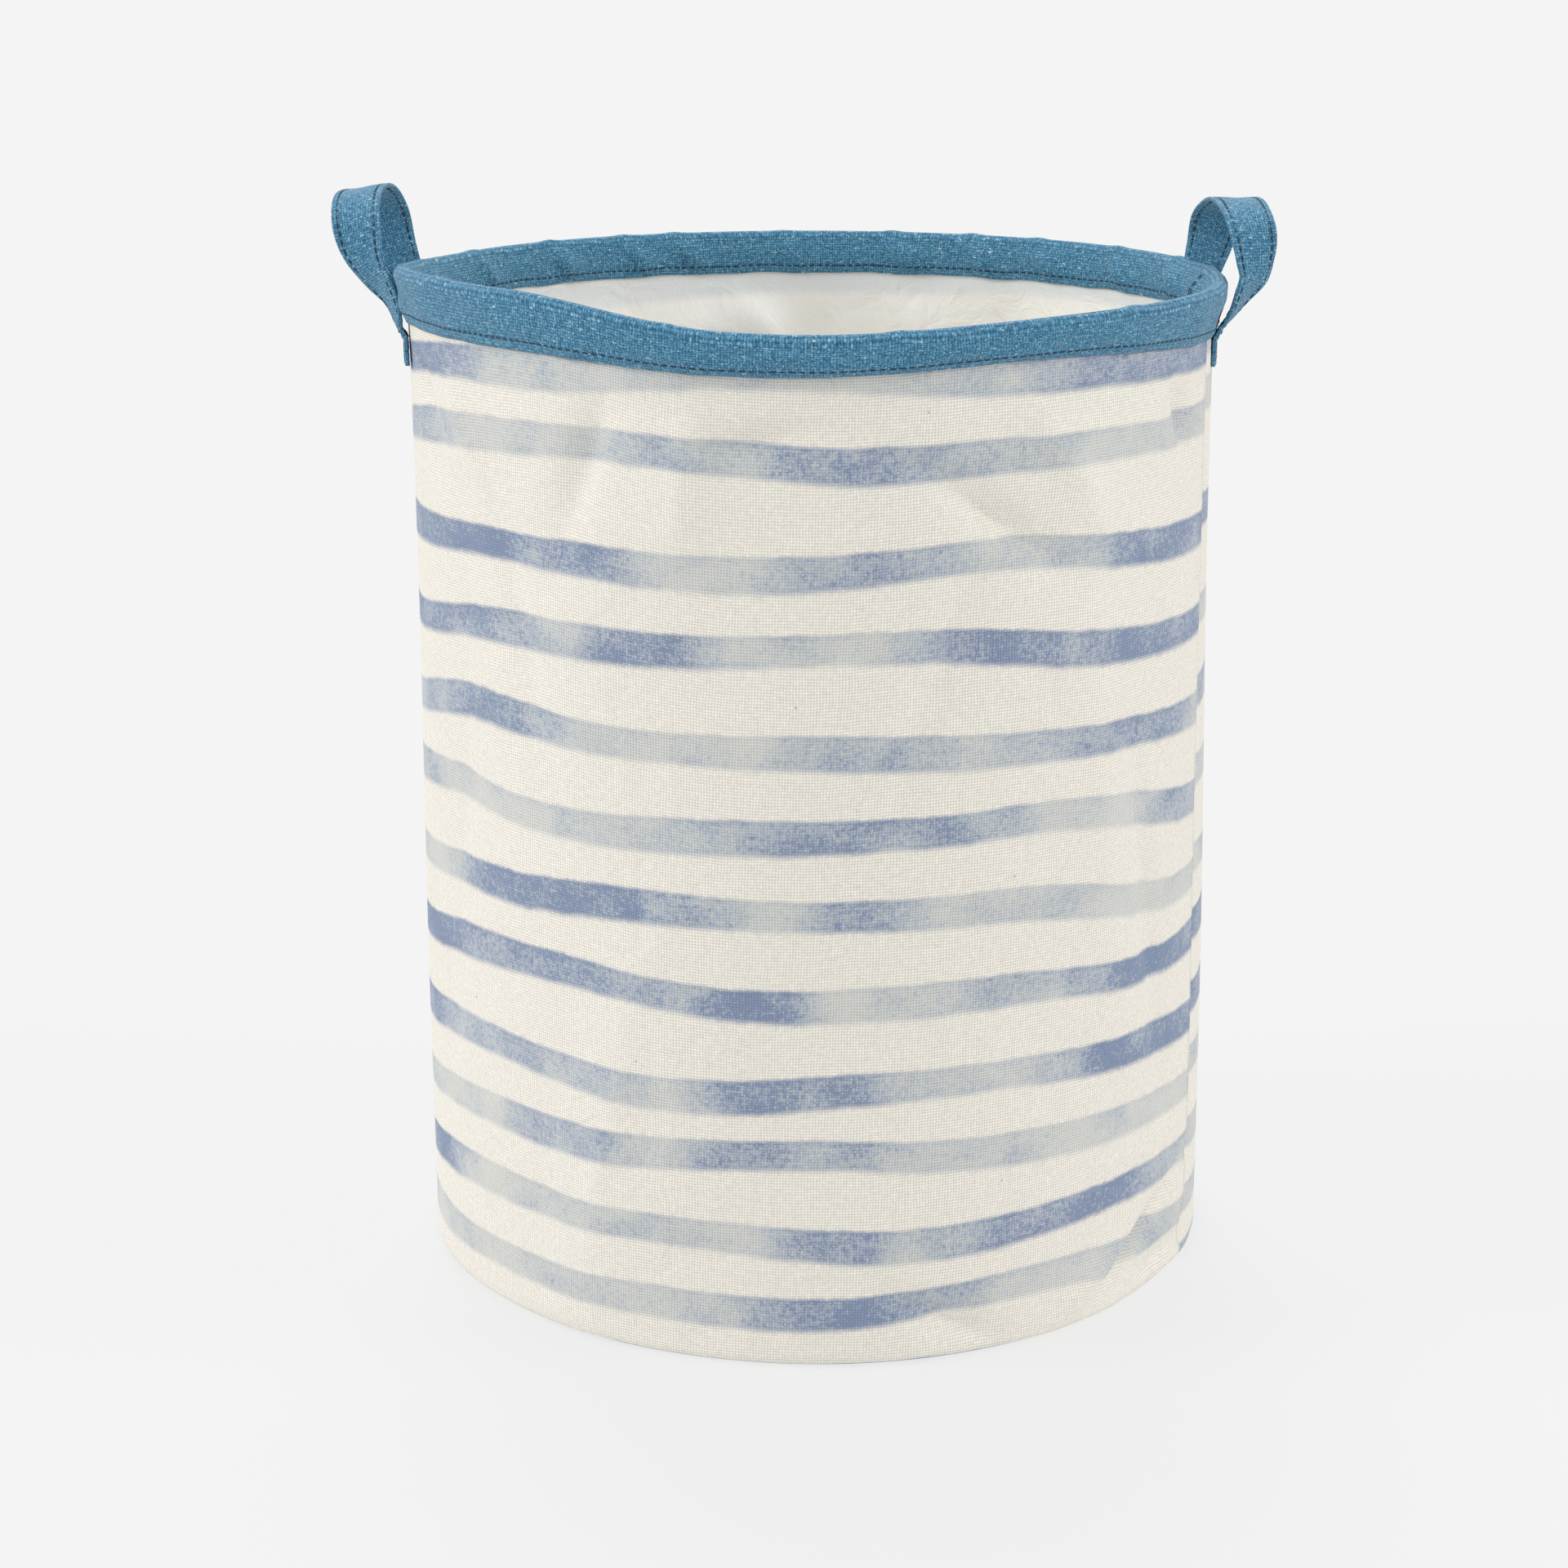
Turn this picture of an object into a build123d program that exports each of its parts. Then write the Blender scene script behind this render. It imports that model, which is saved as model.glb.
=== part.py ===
from build123d import *
import math
import os

# Collapsible round laundry hamper of printed canvas with a film-coated inside.
# A spring-wire hoop in a folded band holds the mouth open, two strap loops lift it,
# and the wall crumples when the rim is pushed down, so that the empty hamper stores flat.
# Origin: on the floor, on the hamper's axis. +Z is up, the front faces -Y, and the
# handles are towards +X and -X. All lengths are in mm and all angles in degrees.

# ---- driving dimensions ----
BODY_RADIUS = 200.0        # outside of the canvas wall: a 400 mm hamper
RIM_HEIGHT = 500.0         # floor to the top of the rim band
CANVAS = 0.9               # thickness of the wall and base canvas
FILM = 0.3                 # waterproof film on the inside of the canvas
BAND_DEPTH = 22.0          # rim band, from its fold to its lower edges
BAND_CLOTH = 1.0           # thickness of the band's cloth with its turned edge
BAND_GAP = 0.4             # room between the band's legs and what they cover
HOOP_RADIUS = 203.0        # centre line of the spring-wire hoop
WIRE_RADIUS = 2.0
HOOP_ROOM = 3.0            # radius of the tunnel in the band's fold
FERRULE_RADIUS = 2.7
FERRULE_LENGTH = 24.0
FERRULE_ANGLE = 60.0       # where the wire's two ends meet
SEAM_ANGLE = -18.0         # the wall's upright seam, measured from +X
JOIN_ANGLE = 5.0           # where the ends of the rim band are sewn together
THREAD = 0.5               # thickness of the sewing thread
THREAD_CLEARANCE = 0.15    # thread to the twisted face of a strap
STITCH_INSET = 4.5         # band edge to its row of stitches
TAPE = 0.8                 # thickness of the binding tape

# ---- handles ----
STRAP_WIDTH = 25.0
STRAP = 2.2                # folded strap, sewn flat
HANDLE_TURN = 3.5          # both handles sit this far behind the middle
LEG_SPREAD = 40.0          # handle's middle to the middle of each leg
TAIL_LENGTH = 14.0         # part of each strap end that is sewn to the wall
TAIL_TOP = 473.0          # low enough for the loop's root to turn clear of it
ROOT_HEIGHT = 478.0        # the loop bends about this line
ROOT_RADIUS = 204.6        # axis of the hamper to the strap's middle at its root
LEG_HEIGHT = 22.0          # root to the start of the round arch
ARCH_RISE = 38.0           # start of the arch to the top of the loop
LEAN = 16.0                # how far the loop leans out from its root
LEAN_HEIGHT = 26.0         # and the height over which it does so
LEG_SECTIONS = 5
ARCH_SECTIONS = 6

# ---- derived places ----
WALL_INSIDE = BODY_RADIUS - CANVAS
FILM_INSIDE = WALL_INSIDE - FILM
FOLD_RADIUS = HOOP_ROOM + BAND_CLOTH
HOOP_HEIGHT = RIM_HEIGHT - FOLD_RADIUS
BAND_FOOT = RIM_HEIGHT - BAND_DEPTH
WALL_TOP = HOOP_HEIGHT - HOOP_ROOM - 5.0
BASE_FILM_TOP = CANVAS + FILM
TAIL_INSIDE = BODY_RADIUS + 1.3


def save(shape, node):
    """Write one named piece as a STEP file."""
    shape.label = node
    export_step(shape, os.path.join("parts", node + ".step"))


def sector(r_in, r_out, z_low, z_high, start=0.0, sweep=360.0):
    """Upright ring about the hamper's axis, or the part of one that sweeps from an angle."""
    flat = Rectangle(r_out - r_in, z_high - z_low, align=(Align.MIN, Align.MIN))
    face = Plane.XZ * Pos(r_in, z_low) * flat
    return Rot(0, 0, start) * revolve(face, Axis.Z, revolution_arc=sweep)


def arc_degrees(length, radius):
    """Angle that a length takes up along a circle."""
    return math.degrees(length / radius)


def touch_point(outside, centre, radius, side):
    """Point where a line from an outside point touches a circle; side is +1 or -1."""
    dx, dz = outside[0] - centre[0], outside[1] - centre[1]
    away = math.hypot(dx, dz)
    turn = math.atan2(dz, dx) + side * math.acos(radius / away)
    return (centre[0] + radius * math.cos(turn), centre[1] + radius * math.sin(turn))


def fold_outline(radius, r_outer, r_inner):
    """Closed outline of an upside-down U: two feet joined by an arc over the hoop."""
    centre = (HOOP_RADIUS, HOOP_HEIGHT)
    outer_foot = (r_outer, BAND_FOOT)
    inner_foot = (r_inner, BAND_FOOT)
    outer_touch = touch_point(outer_foot, centre, radius, 1)
    knee = (r_inner, WALL_TOP)
    inner_touch = touch_point(knee, centre, radius, -1)
    top = (centre[0], centre[1] + radius)
    outline = Line(outer_foot, outer_touch)
    outline += ThreePointArc(outer_touch, top, inner_touch)
    outline += Line(inner_touch, knee) + Line(knee, inner_foot) + Line(inner_foot, outer_foot)
    return make_face(outline)


# ---- base and wall ----
def wall_panel():
    """Canvas wall, one sheet rolled into a tube and joined along the upright seam."""
    return sector(WALL_INSIDE, BODY_RADIUS, 0, WALL_TOP)


def wall_lining():
    """Waterproof film on the inside of the wall."""
    return sector(FILM_INSIDE, WALL_INSIDE, CANVAS, WALL_TOP)


def base_panel():
    """Round canvas base."""
    return Pos(0, 0, CANVAS / 2) * Cylinder(WALL_INSIDE, CANVAS)


def base_lining():
    """Waterproof film on the base."""
    return Pos(0, 0, CANVAS + FILM / 2) * Cylinder(FILM_INSIDE, FILM)


BASE_TAPE_HEIGHT = 10.0
BASE_TAPE_THICKNESS = 2.3  # both plies of the seam with the tape folded over them
BASE_TAPE_INSIDE = FILM_INSIDE - BASE_TAPE_THICKNESS


def base_seam_binding():
    """Tape folded over the seam that joins the wall to the base, inside the corner."""
    return sector(BASE_TAPE_INSIDE, FILM_INSIDE, BASE_FILM_TOP, BASE_FILM_TOP + BASE_TAPE_HEIGHT)


def base_seam_stitches():
    """Row of thread round the base seam's tape."""
    middle = BASE_FILM_TOP + BASE_TAPE_HEIGHT / 2
    return sector(BASE_TAPE_INSIDE - THREAD, BASE_TAPE_INSIDE, middle, middle + THREAD)


SIDE_TAPE_WIDTH = 12.0
SIDE_TAPE_INSIDE = FILM_INSIDE - 2 * TAPE
SIDE_TAPE_FOOT = BASE_FILM_TOP + BASE_TAPE_HEIGHT
SIDE_TAPE_TOP = BAND_FOOT - 2.0


def side_seam_binding():
    """Tape over the wall's upright seam, on the inside."""
    sweep = arc_degrees(SIDE_TAPE_WIDTH, FILM_INSIDE)
    start = SEAM_ANGLE - sweep / 2
    return sector(SIDE_TAPE_INSIDE, FILM_INSIDE, SIDE_TAPE_FOOT, SIDE_TAPE_TOP, start, sweep)


def side_seam_stitches():
    """Two upright rows of thread on the side seam's tape."""
    row_gap = arc_degrees(SIDE_TAPE_WIDTH / 2, FILM_INSIDE)
    sweep = arc_degrees(THREAD, SIDE_TAPE_INSIDE)
    inside = SIDE_TAPE_INSIDE - THREAD
    rows = [
        sector(inside, SIDE_TAPE_INSIDE, SIDE_TAPE_FOOT, SIDE_TAPE_TOP, SEAM_ANGLE + side * row_gap / 2, sweep)
        for side in (-1, 1)
    ]
    return Compound(children=rows)


# ---- rim ----
def rim_band():
    """Cloth strip folded over the hoop, its two legs outside and inside the wall's top."""
    r_outer = BODY_RADIUS + BAND_GAP + BAND_CLOTH
    r_inner = FILM_INSIDE - BAND_GAP - BAND_CLOTH
    solid = fold_outline(FOLD_RADIUS, r_outer, r_inner)
    tunnel = fold_outline(HOOP_ROOM, r_outer - BAND_CLOTH, r_inner + BAND_CLOTH)
    return revolve(Plane.XZ * (solid - tunnel), Axis.Z)


def rim_hoop():
    """Spring-wire ring; its ends meet inside the ferrule."""
    end_gap = arc_degrees(1.0, HOOP_RADIUS)
    wire = Plane.XZ * Pos(HOOP_RADIUS, HOOP_HEIGHT) * Circle(WIRE_RADIUS)
    ring = revolve(wire, Axis.Z, revolution_arc=360 - end_gap)
    return Rot(0, 0, FERRULE_ANGLE + end_gap / 2) * ring


def hoop_ferrule():
    """Steel sleeve crimped over the two ends of the wire."""
    sweep = arc_degrees(FERRULE_LENGTH, HOOP_RADIUS)
    tube = Circle(FERRULE_RADIUS) - Circle(WIRE_RADIUS)
    section = Plane.XZ * Pos(HOOP_RADIUS, HOOP_HEIGHT) * tube
    return Rot(0, 0, FERRULE_ANGLE - sweep / 2) * revolve(section, Axis.Z, revolution_arc=sweep)


def band_face_radius(height):
    """Radius of the band's outside face at a height below its fold."""
    foot = (BODY_RADIUS + BAND_GAP + BAND_CLOTH, BAND_FOOT)
    touch = touch_point(foot, (HOOP_RADIUS, HOOP_HEIGHT), FOLD_RADIUS, 1)
    share = (height - foot[1]) / (touch[1] - foot[1])
    return foot[0] + share * (touch[0] - foot[0])


def band_stitch_outer():
    """Row of thread round the outside of the band, near its lower edge."""
    low = BAND_FOOT + STITCH_INSET
    face = band_face_radius(low + THREAD)
    return sector(face, face + THREAD, low, low + THREAD)


def band_stitch_inner():
    """The same row where it shows inside the hamper."""
    low = BAND_FOOT + STITCH_INSET
    face = FILM_INSIDE - BAND_GAP - BAND_CLOTH
    return sector(face - THREAD, face, low, low + THREAD)


def band_join_stitches():
    """Two short upright rows where the ends of the band meet, inside the hamper."""
    face = FILM_INSIDE - BAND_GAP - BAND_CLOTH
    sweep = arc_degrees(THREAD, face)
    low = BAND_FOOT + STITCH_INSET + 2 * THREAD
    rows = [
        sector(face - THREAD, face, low, WALL_TOP - 1.0, JOIN_ANGLE + offset, sweep)
        for offset in (0.0, arc_degrees(2.5, face))
    ]
    return Compound(children=rows)


# ---- handles, modelled at +X and then turned or mirrored into place ----
LEG_ANGLE = math.degrees(math.asin(LEG_SPREAD / ROOT_RADIUS))


def handle_tails():
    """The two ends of a strap, sewn flat on the wall below the band."""
    sweep = arc_degrees(STRAP_WIDTH, TAIL_INSIDE)
    foot = TAIL_TOP - TAIL_LENGTH
    tails = [
        sector(TAIL_INSIDE, TAIL_INSIDE + STRAP, foot, TAIL_TOP, side * LEG_ANGLE - sweep / 2, sweep)
        for side in (-1, 1)
    ]
    return Compound(children=tails)


def tail_stitches():
    """A box of thread on each strap end."""
    face = TAIL_INSIDE + STRAP
    inset = 3.0
    low = TAIL_TOP - TAIL_LENGTH + inset
    high = TAIL_TOP - inset
    sweep = arc_degrees(STRAP_WIDTH - 2 * inset, face)
    hole = arc_degrees(STRAP_WIDTH - 2 * inset - 2 * THREAD, face)
    boxes = []
    for side in (-1, 1):
        middle = side * LEG_ANGLE
        whole = sector(face, face + THREAD, low, high, middle - sweep / 2, sweep)
        window = sector(
            face - THREAD, face + 2 * THREAD, low + THREAD, high - THREAD, middle - hole / 2, hole
        )
        boxes.append(whole - window)
    return Compound(children=boxes)


def smooth(value):
    """Ease from 0 to 1 with level ends."""
    held = min(max(value, 0.0), 1.0)
    return held * held * (3 - 2 * held)


def loop_centre(side, along):
    """Middle of the strap; along runs 0 to 1 up the leg and 1 to 2 round to the top."""
    if along <= 1:
        y = side * LEG_SPREAD
        rise = 0.2 + along * LEG_HEIGHT
    else:
        turn = math.radians(90 * (along - 1))
        y = side * LEG_SPREAD * math.cos(turn)
        rise = LEG_HEIGHT + ARCH_RISE * math.sin(turn)
    lean = LEAN * math.sin(math.radians(90 * min(rise / LEAN_HEIGHT, 1.0)))
    return Vector(math.sqrt(ROOT_RADIUS**2 - y**2) + lean, y, ROOT_HEIGHT + rise)


def loop_frame(side, along):
    """Plane across the strap: its x is the strap's width and its normal runs along it."""
    step = 0.02
    ahead = loop_centre(side, min(along + step, 2.0))
    behind = loop_centre(side, max(along - step, 0.0))
    run = (ahead - behind).normalized()
    if along >= 2:
        run = Vector(0, -side, 0)
    centre = loop_centre(side, along)
    twist = math.radians(90 * smooth(along / 1.45))
    angle = math.radians(side * LEG_ANGLE * (1 - along / 2))
    inward = Vector(math.sin(angle) * side, -math.cos(angle) * side, 0)
    width = inward * math.cos(twist) + Vector(1, 0, 0) * math.sin(twist)
    width = (width - run * width.dot(run)).normalized()
    return Plane(origin=centre, x_dir=width, z_dir=run * -side)


def loop_frames():
    """Frames along the whole loop, from the front root to the back root."""
    steps = [index / LEG_SECTIONS for index in range(LEG_SECTIONS + 1)]
    steps += [1 + index / ARCH_SECTIONS for index in range(1, ARCH_SECTIONS)]
    front = [loop_frame(-1, along) for along in steps]
    back = [loop_frame(1, along) for along in reversed(steps)]
    return front + [loop_frame(-1, 2.0)] + back


def along_loop(width, thickness, across, above):
    """Flat strip that follows the loop, off its middle by across and above."""
    shapes = [frame * Pos(across, above) * Rectangle(width, thickness) for frame in loop_frames()]
    return loft(shapes, ruled=True)


def handle_strap():
    """Folded strap that twists from flat on the wall to flat under the hand."""
    return along_loop(STRAP_WIDTH, STRAP, 0, 0)


def handle_stitches():
    """Rows of thread near both edges of the strap, on both of its faces."""
    offset = STRAP_WIDTH / 2 - 3.2
    above = (STRAP + THREAD) / 2 + THREAD_CLEARANCE
    rows = [
        along_loop(THREAD, THREAD, across, face)
        for across in (-offset, offset)
        for face in (-above, above)
    ]
    return Compound(children=rows)


def place(shape, side):
    """Move a handle piece from +X to its place on the right (+1) or left (-1)."""
    turned = Rot(0, 0, HANDLE_TURN) * shape
    return turned if side > 0 else mirror(turned, Plane.YZ)


def main():
    os.makedirs("parts", exist_ok=True)
    whole = {
        "wall_panel": wall_panel,
        "wall_lining": wall_lining,
        "base_panel": base_panel,
        "base_lining": base_lining,
        "base_seam_binding": base_seam_binding,
        "base_seam_stitches": base_seam_stitches,
        "side_seam_binding": side_seam_binding,
        "side_seam_stitches": side_seam_stitches,
        "rim_band": rim_band,
        "rim_hoop": rim_hoop,
        "hoop_ferrule": hoop_ferrule,
        "band_stitch_outer": band_stitch_outer,
        "band_stitch_inner": band_stitch_inner,
        "band_join_stitches": band_join_stitches,
    }
    for node, make in whole.items():
        save(make(), node)
    sided = {
        "handle_tails": handle_tails,
        "tail_stitches": tail_stitches,
        "handle_strap": handle_strap,
        "handle_stitches": handle_stitches,
    }
    for name, side in (("right", 1), ("left", -1)):
        for node, make in sided.items():
            save(place(make(), side), name + "_" + node)


main()
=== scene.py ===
import logging
import math
from dataclasses import dataclass
from enum import Enum
from typing import Callable, Sequence

import bpy
import numpy as np
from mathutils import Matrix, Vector


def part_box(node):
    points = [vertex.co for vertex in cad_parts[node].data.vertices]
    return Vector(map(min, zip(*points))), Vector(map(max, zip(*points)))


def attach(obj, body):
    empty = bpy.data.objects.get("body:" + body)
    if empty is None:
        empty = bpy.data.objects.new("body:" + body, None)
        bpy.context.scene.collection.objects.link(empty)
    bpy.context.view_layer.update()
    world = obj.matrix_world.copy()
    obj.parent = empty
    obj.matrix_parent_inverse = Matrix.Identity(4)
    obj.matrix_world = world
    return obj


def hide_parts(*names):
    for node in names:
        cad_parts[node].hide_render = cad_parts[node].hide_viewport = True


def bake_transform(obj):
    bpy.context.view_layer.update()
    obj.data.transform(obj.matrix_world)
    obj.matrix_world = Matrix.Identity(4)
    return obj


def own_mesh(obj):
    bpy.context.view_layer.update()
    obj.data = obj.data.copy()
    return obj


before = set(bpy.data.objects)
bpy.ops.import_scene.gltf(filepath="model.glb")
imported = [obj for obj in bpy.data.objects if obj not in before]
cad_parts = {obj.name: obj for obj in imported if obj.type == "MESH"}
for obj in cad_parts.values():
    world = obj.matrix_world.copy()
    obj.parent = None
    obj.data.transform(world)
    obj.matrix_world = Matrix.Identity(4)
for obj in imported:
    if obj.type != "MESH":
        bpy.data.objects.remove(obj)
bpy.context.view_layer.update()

LOG = logging.getLogger("hamper")
MM = 0.001
BAND_OUT = 1.4 * MM  # the band's outer edge stands off the canvas, and its inner one off the film
BAND_IN = 3.4 * MM
FLAT = "flat"  # UV map of every cloth piece: the cut cloth laid flat, in metres


# ---------------------------------------------------------------- shared shapes
def smooth(share: np.ndarray | float) -> np.ndarray:
    """Ease from 0 to 1 with level ends."""
    held = np.clip(share, 0.0, 1.0)
    return held * held * (3 - 2 * held)


def eased(stations: Sequence[float], values: Sequence[float], at: np.ndarray) -> np.ndarray:
    """Smooth curve through given values.

    Args:
        stations: Increasing places along the curve.
        values: The curve's value at each station.
        at: Places to read, held between the first and the last station.

    Returns:
        The curve's values there.
    """
    x, y = np.asarray(stations, float), np.asarray(values, float)
    slope = np.gradient(y, x)
    at = np.clip(at, x[0], x[-1])
    low = np.clip(np.searchsorted(x, at) - 1, 0, len(x) - 2)
    gap = x[low + 1] - x[low]
    t = (at - x[low]) / gap
    start = (2 * t**3 - 3 * t**2 + 1) * y[low] + (t**3 - 2 * t**2 + t) * gap * slope[low]
    end = (3 * t**2 - 2 * t**3) * y[low + 1] + (t**3 - t**2) * gap * slope[low + 1]
    return start + end


def wrapped(azimuth: np.ndarray) -> np.ndarray:
    """Angles brought between -180 and 180 degrees."""
    return (np.asarray(azimuth, float) + 180.0) % 360.0 - 180.0


def on_circle(azimuth: np.ndarray, radius: np.ndarray, height: np.ndarray) -> np.ndarray:
    """Points at an angle, a distance from the hamper's axis and a height."""
    turn = np.radians(azimuth)
    return np.stack(np.broadcast_arrays(radius * np.cos(turn), radius * np.sin(turn), height), axis=-1)


def unit(vectors: np.ndarray) -> np.ndarray:
    """Vectors brought to length 1."""
    return vectors / np.linalg.norm(vectors, axis=-1, keepdims=True)


def bump(azimuth: np.ndarray, middle: float, reach: float) -> np.ndarray:
    """A soft hump of height 1 at an angle, in degrees."""
    return np.exp(-((wrapped(azimuth - middle) / reach) ** 2))


@dataclass(frozen=True)
class RimLine:
    """How the mouth of the soft hamper strays from a level circle: a swell, a dip and a sagging foot."""

    swell: float = 9.0 * MM
    swell_from: float = -205.0  # the swell grows from here, and drops away steeply past its end
    swell_end: float = -133.0
    swell_rise: float = 55.0
    swell_fall: float = 32.0
    dip: float = 5.0 * MM
    foot_share: float = 0.4  # how much of the fold's rise the lower edge follows
    foot_lift: float = 3.0 * MM
    foot_sag: float = 3.5 * MM

    def top(self, azimuth: np.ndarray) -> np.ndarray:
        """Rise of the band's fold, in metres."""
        turn = wrapped(azimuth)
        turn = np.where(turn > 90, turn - 360, turn)
        swell = smooth((turn - self.swell_from) / self.swell_rise)
        swell = swell * (1 - smooth((turn - self.swell_end) / self.swell_fall))
        return MM + self.swell * swell - self.dip * bump(azimuth, -90, 24)

    def foot(self, azimuth: np.ndarray) -> np.ndarray:
        """Rise of the band's lower edge, in metres."""
        followed = self.foot_share * self.top(azimuth)
        return followed + self.foot_lift * bump(azimuth, -60, 20) - self.foot_sag * bump(azimuth, -15, 20)


RIM_LINE = RimLine()
LEAN = 3.5 * MM  # the foot of the hamper stands this far to +X of its mouth


def lean_at(height: np.ndarray, full: float) -> np.ndarray:
    """Sideways shift of the soft wall at a height."""
    return LEAN * (1 - np.clip(height / full, 0, 1))


def grid_piece(
    name: str, cells: tuple[int, int], shape: Callable, closed: bool = False, capped: bool = False
) -> bpy.types.Object:
    """Shape a flat grid into a piece of cloth.

    Args:
        name: Name of the piece.
        cells: Number of faces along u and along v.
        shape: Takes u and v, both 0 to 1, and returns places in metres and flat cloth coordinates.
        closed: Join the sheet to itself where its edges meet.
        capped: Close the open ends as well.

    Returns:
        The new object, at the origin.
    """
    bpy.ops.object.select_all(action="DESELECT")
    bpy.ops.mesh.primitive_grid_add(x_subdivisions=cells[0], y_subdivisions=cells[1], size=1.0)
    piece = bpy.context.active_object
    piece.name = name
    mesh = piece.data
    places = np.zeros(len(mesh.vertices) * 3)
    mesh.vertices.foreach_get("co", places)
    places = places.reshape(-1, 3) + 0.5
    shaped, flat = shape(places[:, 0], places[:, 1])
    mesh.vertices.foreach_set("co", shaped.astype(np.float32).ravel())
    while mesh.uv_layers:
        mesh.uv_layers.remove(mesh.uv_layers[0])
    corner = np.zeros(len(mesh.loops), np.int32)
    mesh.loops.foreach_get("vertex_index", corner)
    mesh.uv_layers.new(name=FLAT).data.foreach_set("uv", flat[corner].astype(np.float32).ravel())
    if closed:
        bpy.ops.object.mode_set(mode="EDIT")
        bpy.ops.mesh.select_all(action="SELECT")
        bpy.ops.mesh.remove_doubles(threshold=1e-6)
        if capped:
            bpy.ops.mesh.fill_holes(sides=0)
            bpy.ops.mesh.select_all(action="SELECT")
            bpy.ops.mesh.normals_make_consistent(inside=False)
        bpy.ops.object.mode_set(mode="OBJECT")
    bpy.ops.object.shade_smooth()
    mesh.update()
    return piece


def thicken(piece: bpy.types.Object, thickness: float) -> None:
    """Give a sheet its thickness, on the side away from its faces' normals."""
    bpy.ops.object.select_all(action="DESELECT")
    piece.select_set(True)
    bpy.context.view_layer.objects.active = piece
    bpy.ops.object.modifier_add(type="SOLIDIFY")
    modifier = piece.modifiers[-1]
    modifier.thickness = thickness
    modifier.offset = -1.0
    bpy.ops.object.modifier_apply(modifier=modifier.name)


def set_attribute(piece: bpy.types.Object, name: str, values: np.ndarray) -> None:
    """Store one number per point, for the piece's finish to read."""
    made = piece.data.attributes.new(name, "FLOAT", "POINT")
    made.data.foreach_set("value", values.astype(np.float32))


@dataclass(frozen=True)
class Stitch:
    """One short stitch of sewing thread, modelled once and copied along a row."""

    length: float = 3.5 * MM
    width: float = 0.95 * MM
    height: float = 0.9 * MM
    pitch: float = 4.4 * MM

    def model(self) -> tuple[np.ndarray, list, np.ndarray]:
        """One stitch along Z with its outside towards X: points, faces and corner coordinates."""
        bpy.ops.object.select_all(action="DESELECT")
        bpy.ops.mesh.primitive_uv_sphere_add(segments=6, ring_count=5, radius=1.0)
        ball = bpy.context.active_object
        bpy.ops.object.mode_set(mode="EDIT")
        bpy.ops.mesh.select_all(action="SELECT")
        bpy.ops.transform.resize(value=(self.height / 2, self.width / 2, self.length / 2))
        bpy.ops.object.mode_set(mode="OBJECT")
        points = np.array([v.co for v in ball.data.vertices])
        faces = [list(p.vertices) for p in ball.data.polygons]
        corners = np.array([c.uv for c in ball.data.uv_layers[0].data])
        bpy.data.objects.remove(ball)
        return points, faces, corners

    def sow(
        self, name: str, centres: np.ndarray, along: np.ndarray, outward: np.ndarray
    ) -> bpy.types.Object:
        """Lay a row of stitches.

        Args:
            name: Name of the piece.
            centres: Middle of each stitch, on the cloth's face.
            along: Direction of each stitch.
            outward: Direction away from the cloth at each stitch.

        Returns:
            One object with every stitch of the row.
        """
        points, faces, corners = self.model()
        along = unit(along)
        across = unit(np.cross(along, outward))
        outward = np.cross(across, along)
        tension = 1 + 0.12 * np.sin(2.4 * np.arange(len(centres)))
        lines = points[None, :, 2, None] * (along * tension[:, None])[:, None, :]
        bodies = points[None, :, 0, None] * outward[:, None, :]
        bodies = bodies + points[None, :, 1, None] * across[:, None, :]
        placed = centres[:, None, :] + lines + bodies
        all_faces = [
            [corner + row * len(points) for corner in face] for row in range(len(centres)) for face in faces
        ]
        mesh = bpy.data.meshes.new(name)
        mesh.from_pydata(placed.reshape(-1, 3).tolist(), [], all_faces)
        mesh.uv_layers.new(name=FLAT).data.foreach_set(
            "uv", np.tile(corners, (len(centres), 1)).astype(np.float32).ravel()
        )
        piece = bpy.data.objects.new(name, mesh)
        bpy.context.scene.collection.objects.link(piece)
        bpy.ops.object.select_all(action="DESELECT")
        piece.select_set(True)
        bpy.context.view_layer.objects.active = piece
        bpy.ops.object.mode_set(mode="EDIT")
        bpy.ops.mesh.select_all(action="SELECT")
        bpy.ops.mesh.normals_make_consistent(inside=False)
        bpy.ops.object.mode_set(mode="OBJECT")
        bpy.ops.object.shade_smooth()
        return piece


STITCH = Stitch()


# ---------------------------------------------------------------- finishes
def linear(code: str) -> tuple[float, float, float, float]:
    """An sRGB hex colour as linear light."""
    parts = [int(code[i : i + 2], 16) / 255 for i in (1, 3, 5)]
    light = [p / 12.92 if p <= 0.04045 else ((p + 0.055) / 1.055) ** 2.4 for p in parts]
    return (*light, 1.0)


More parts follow.
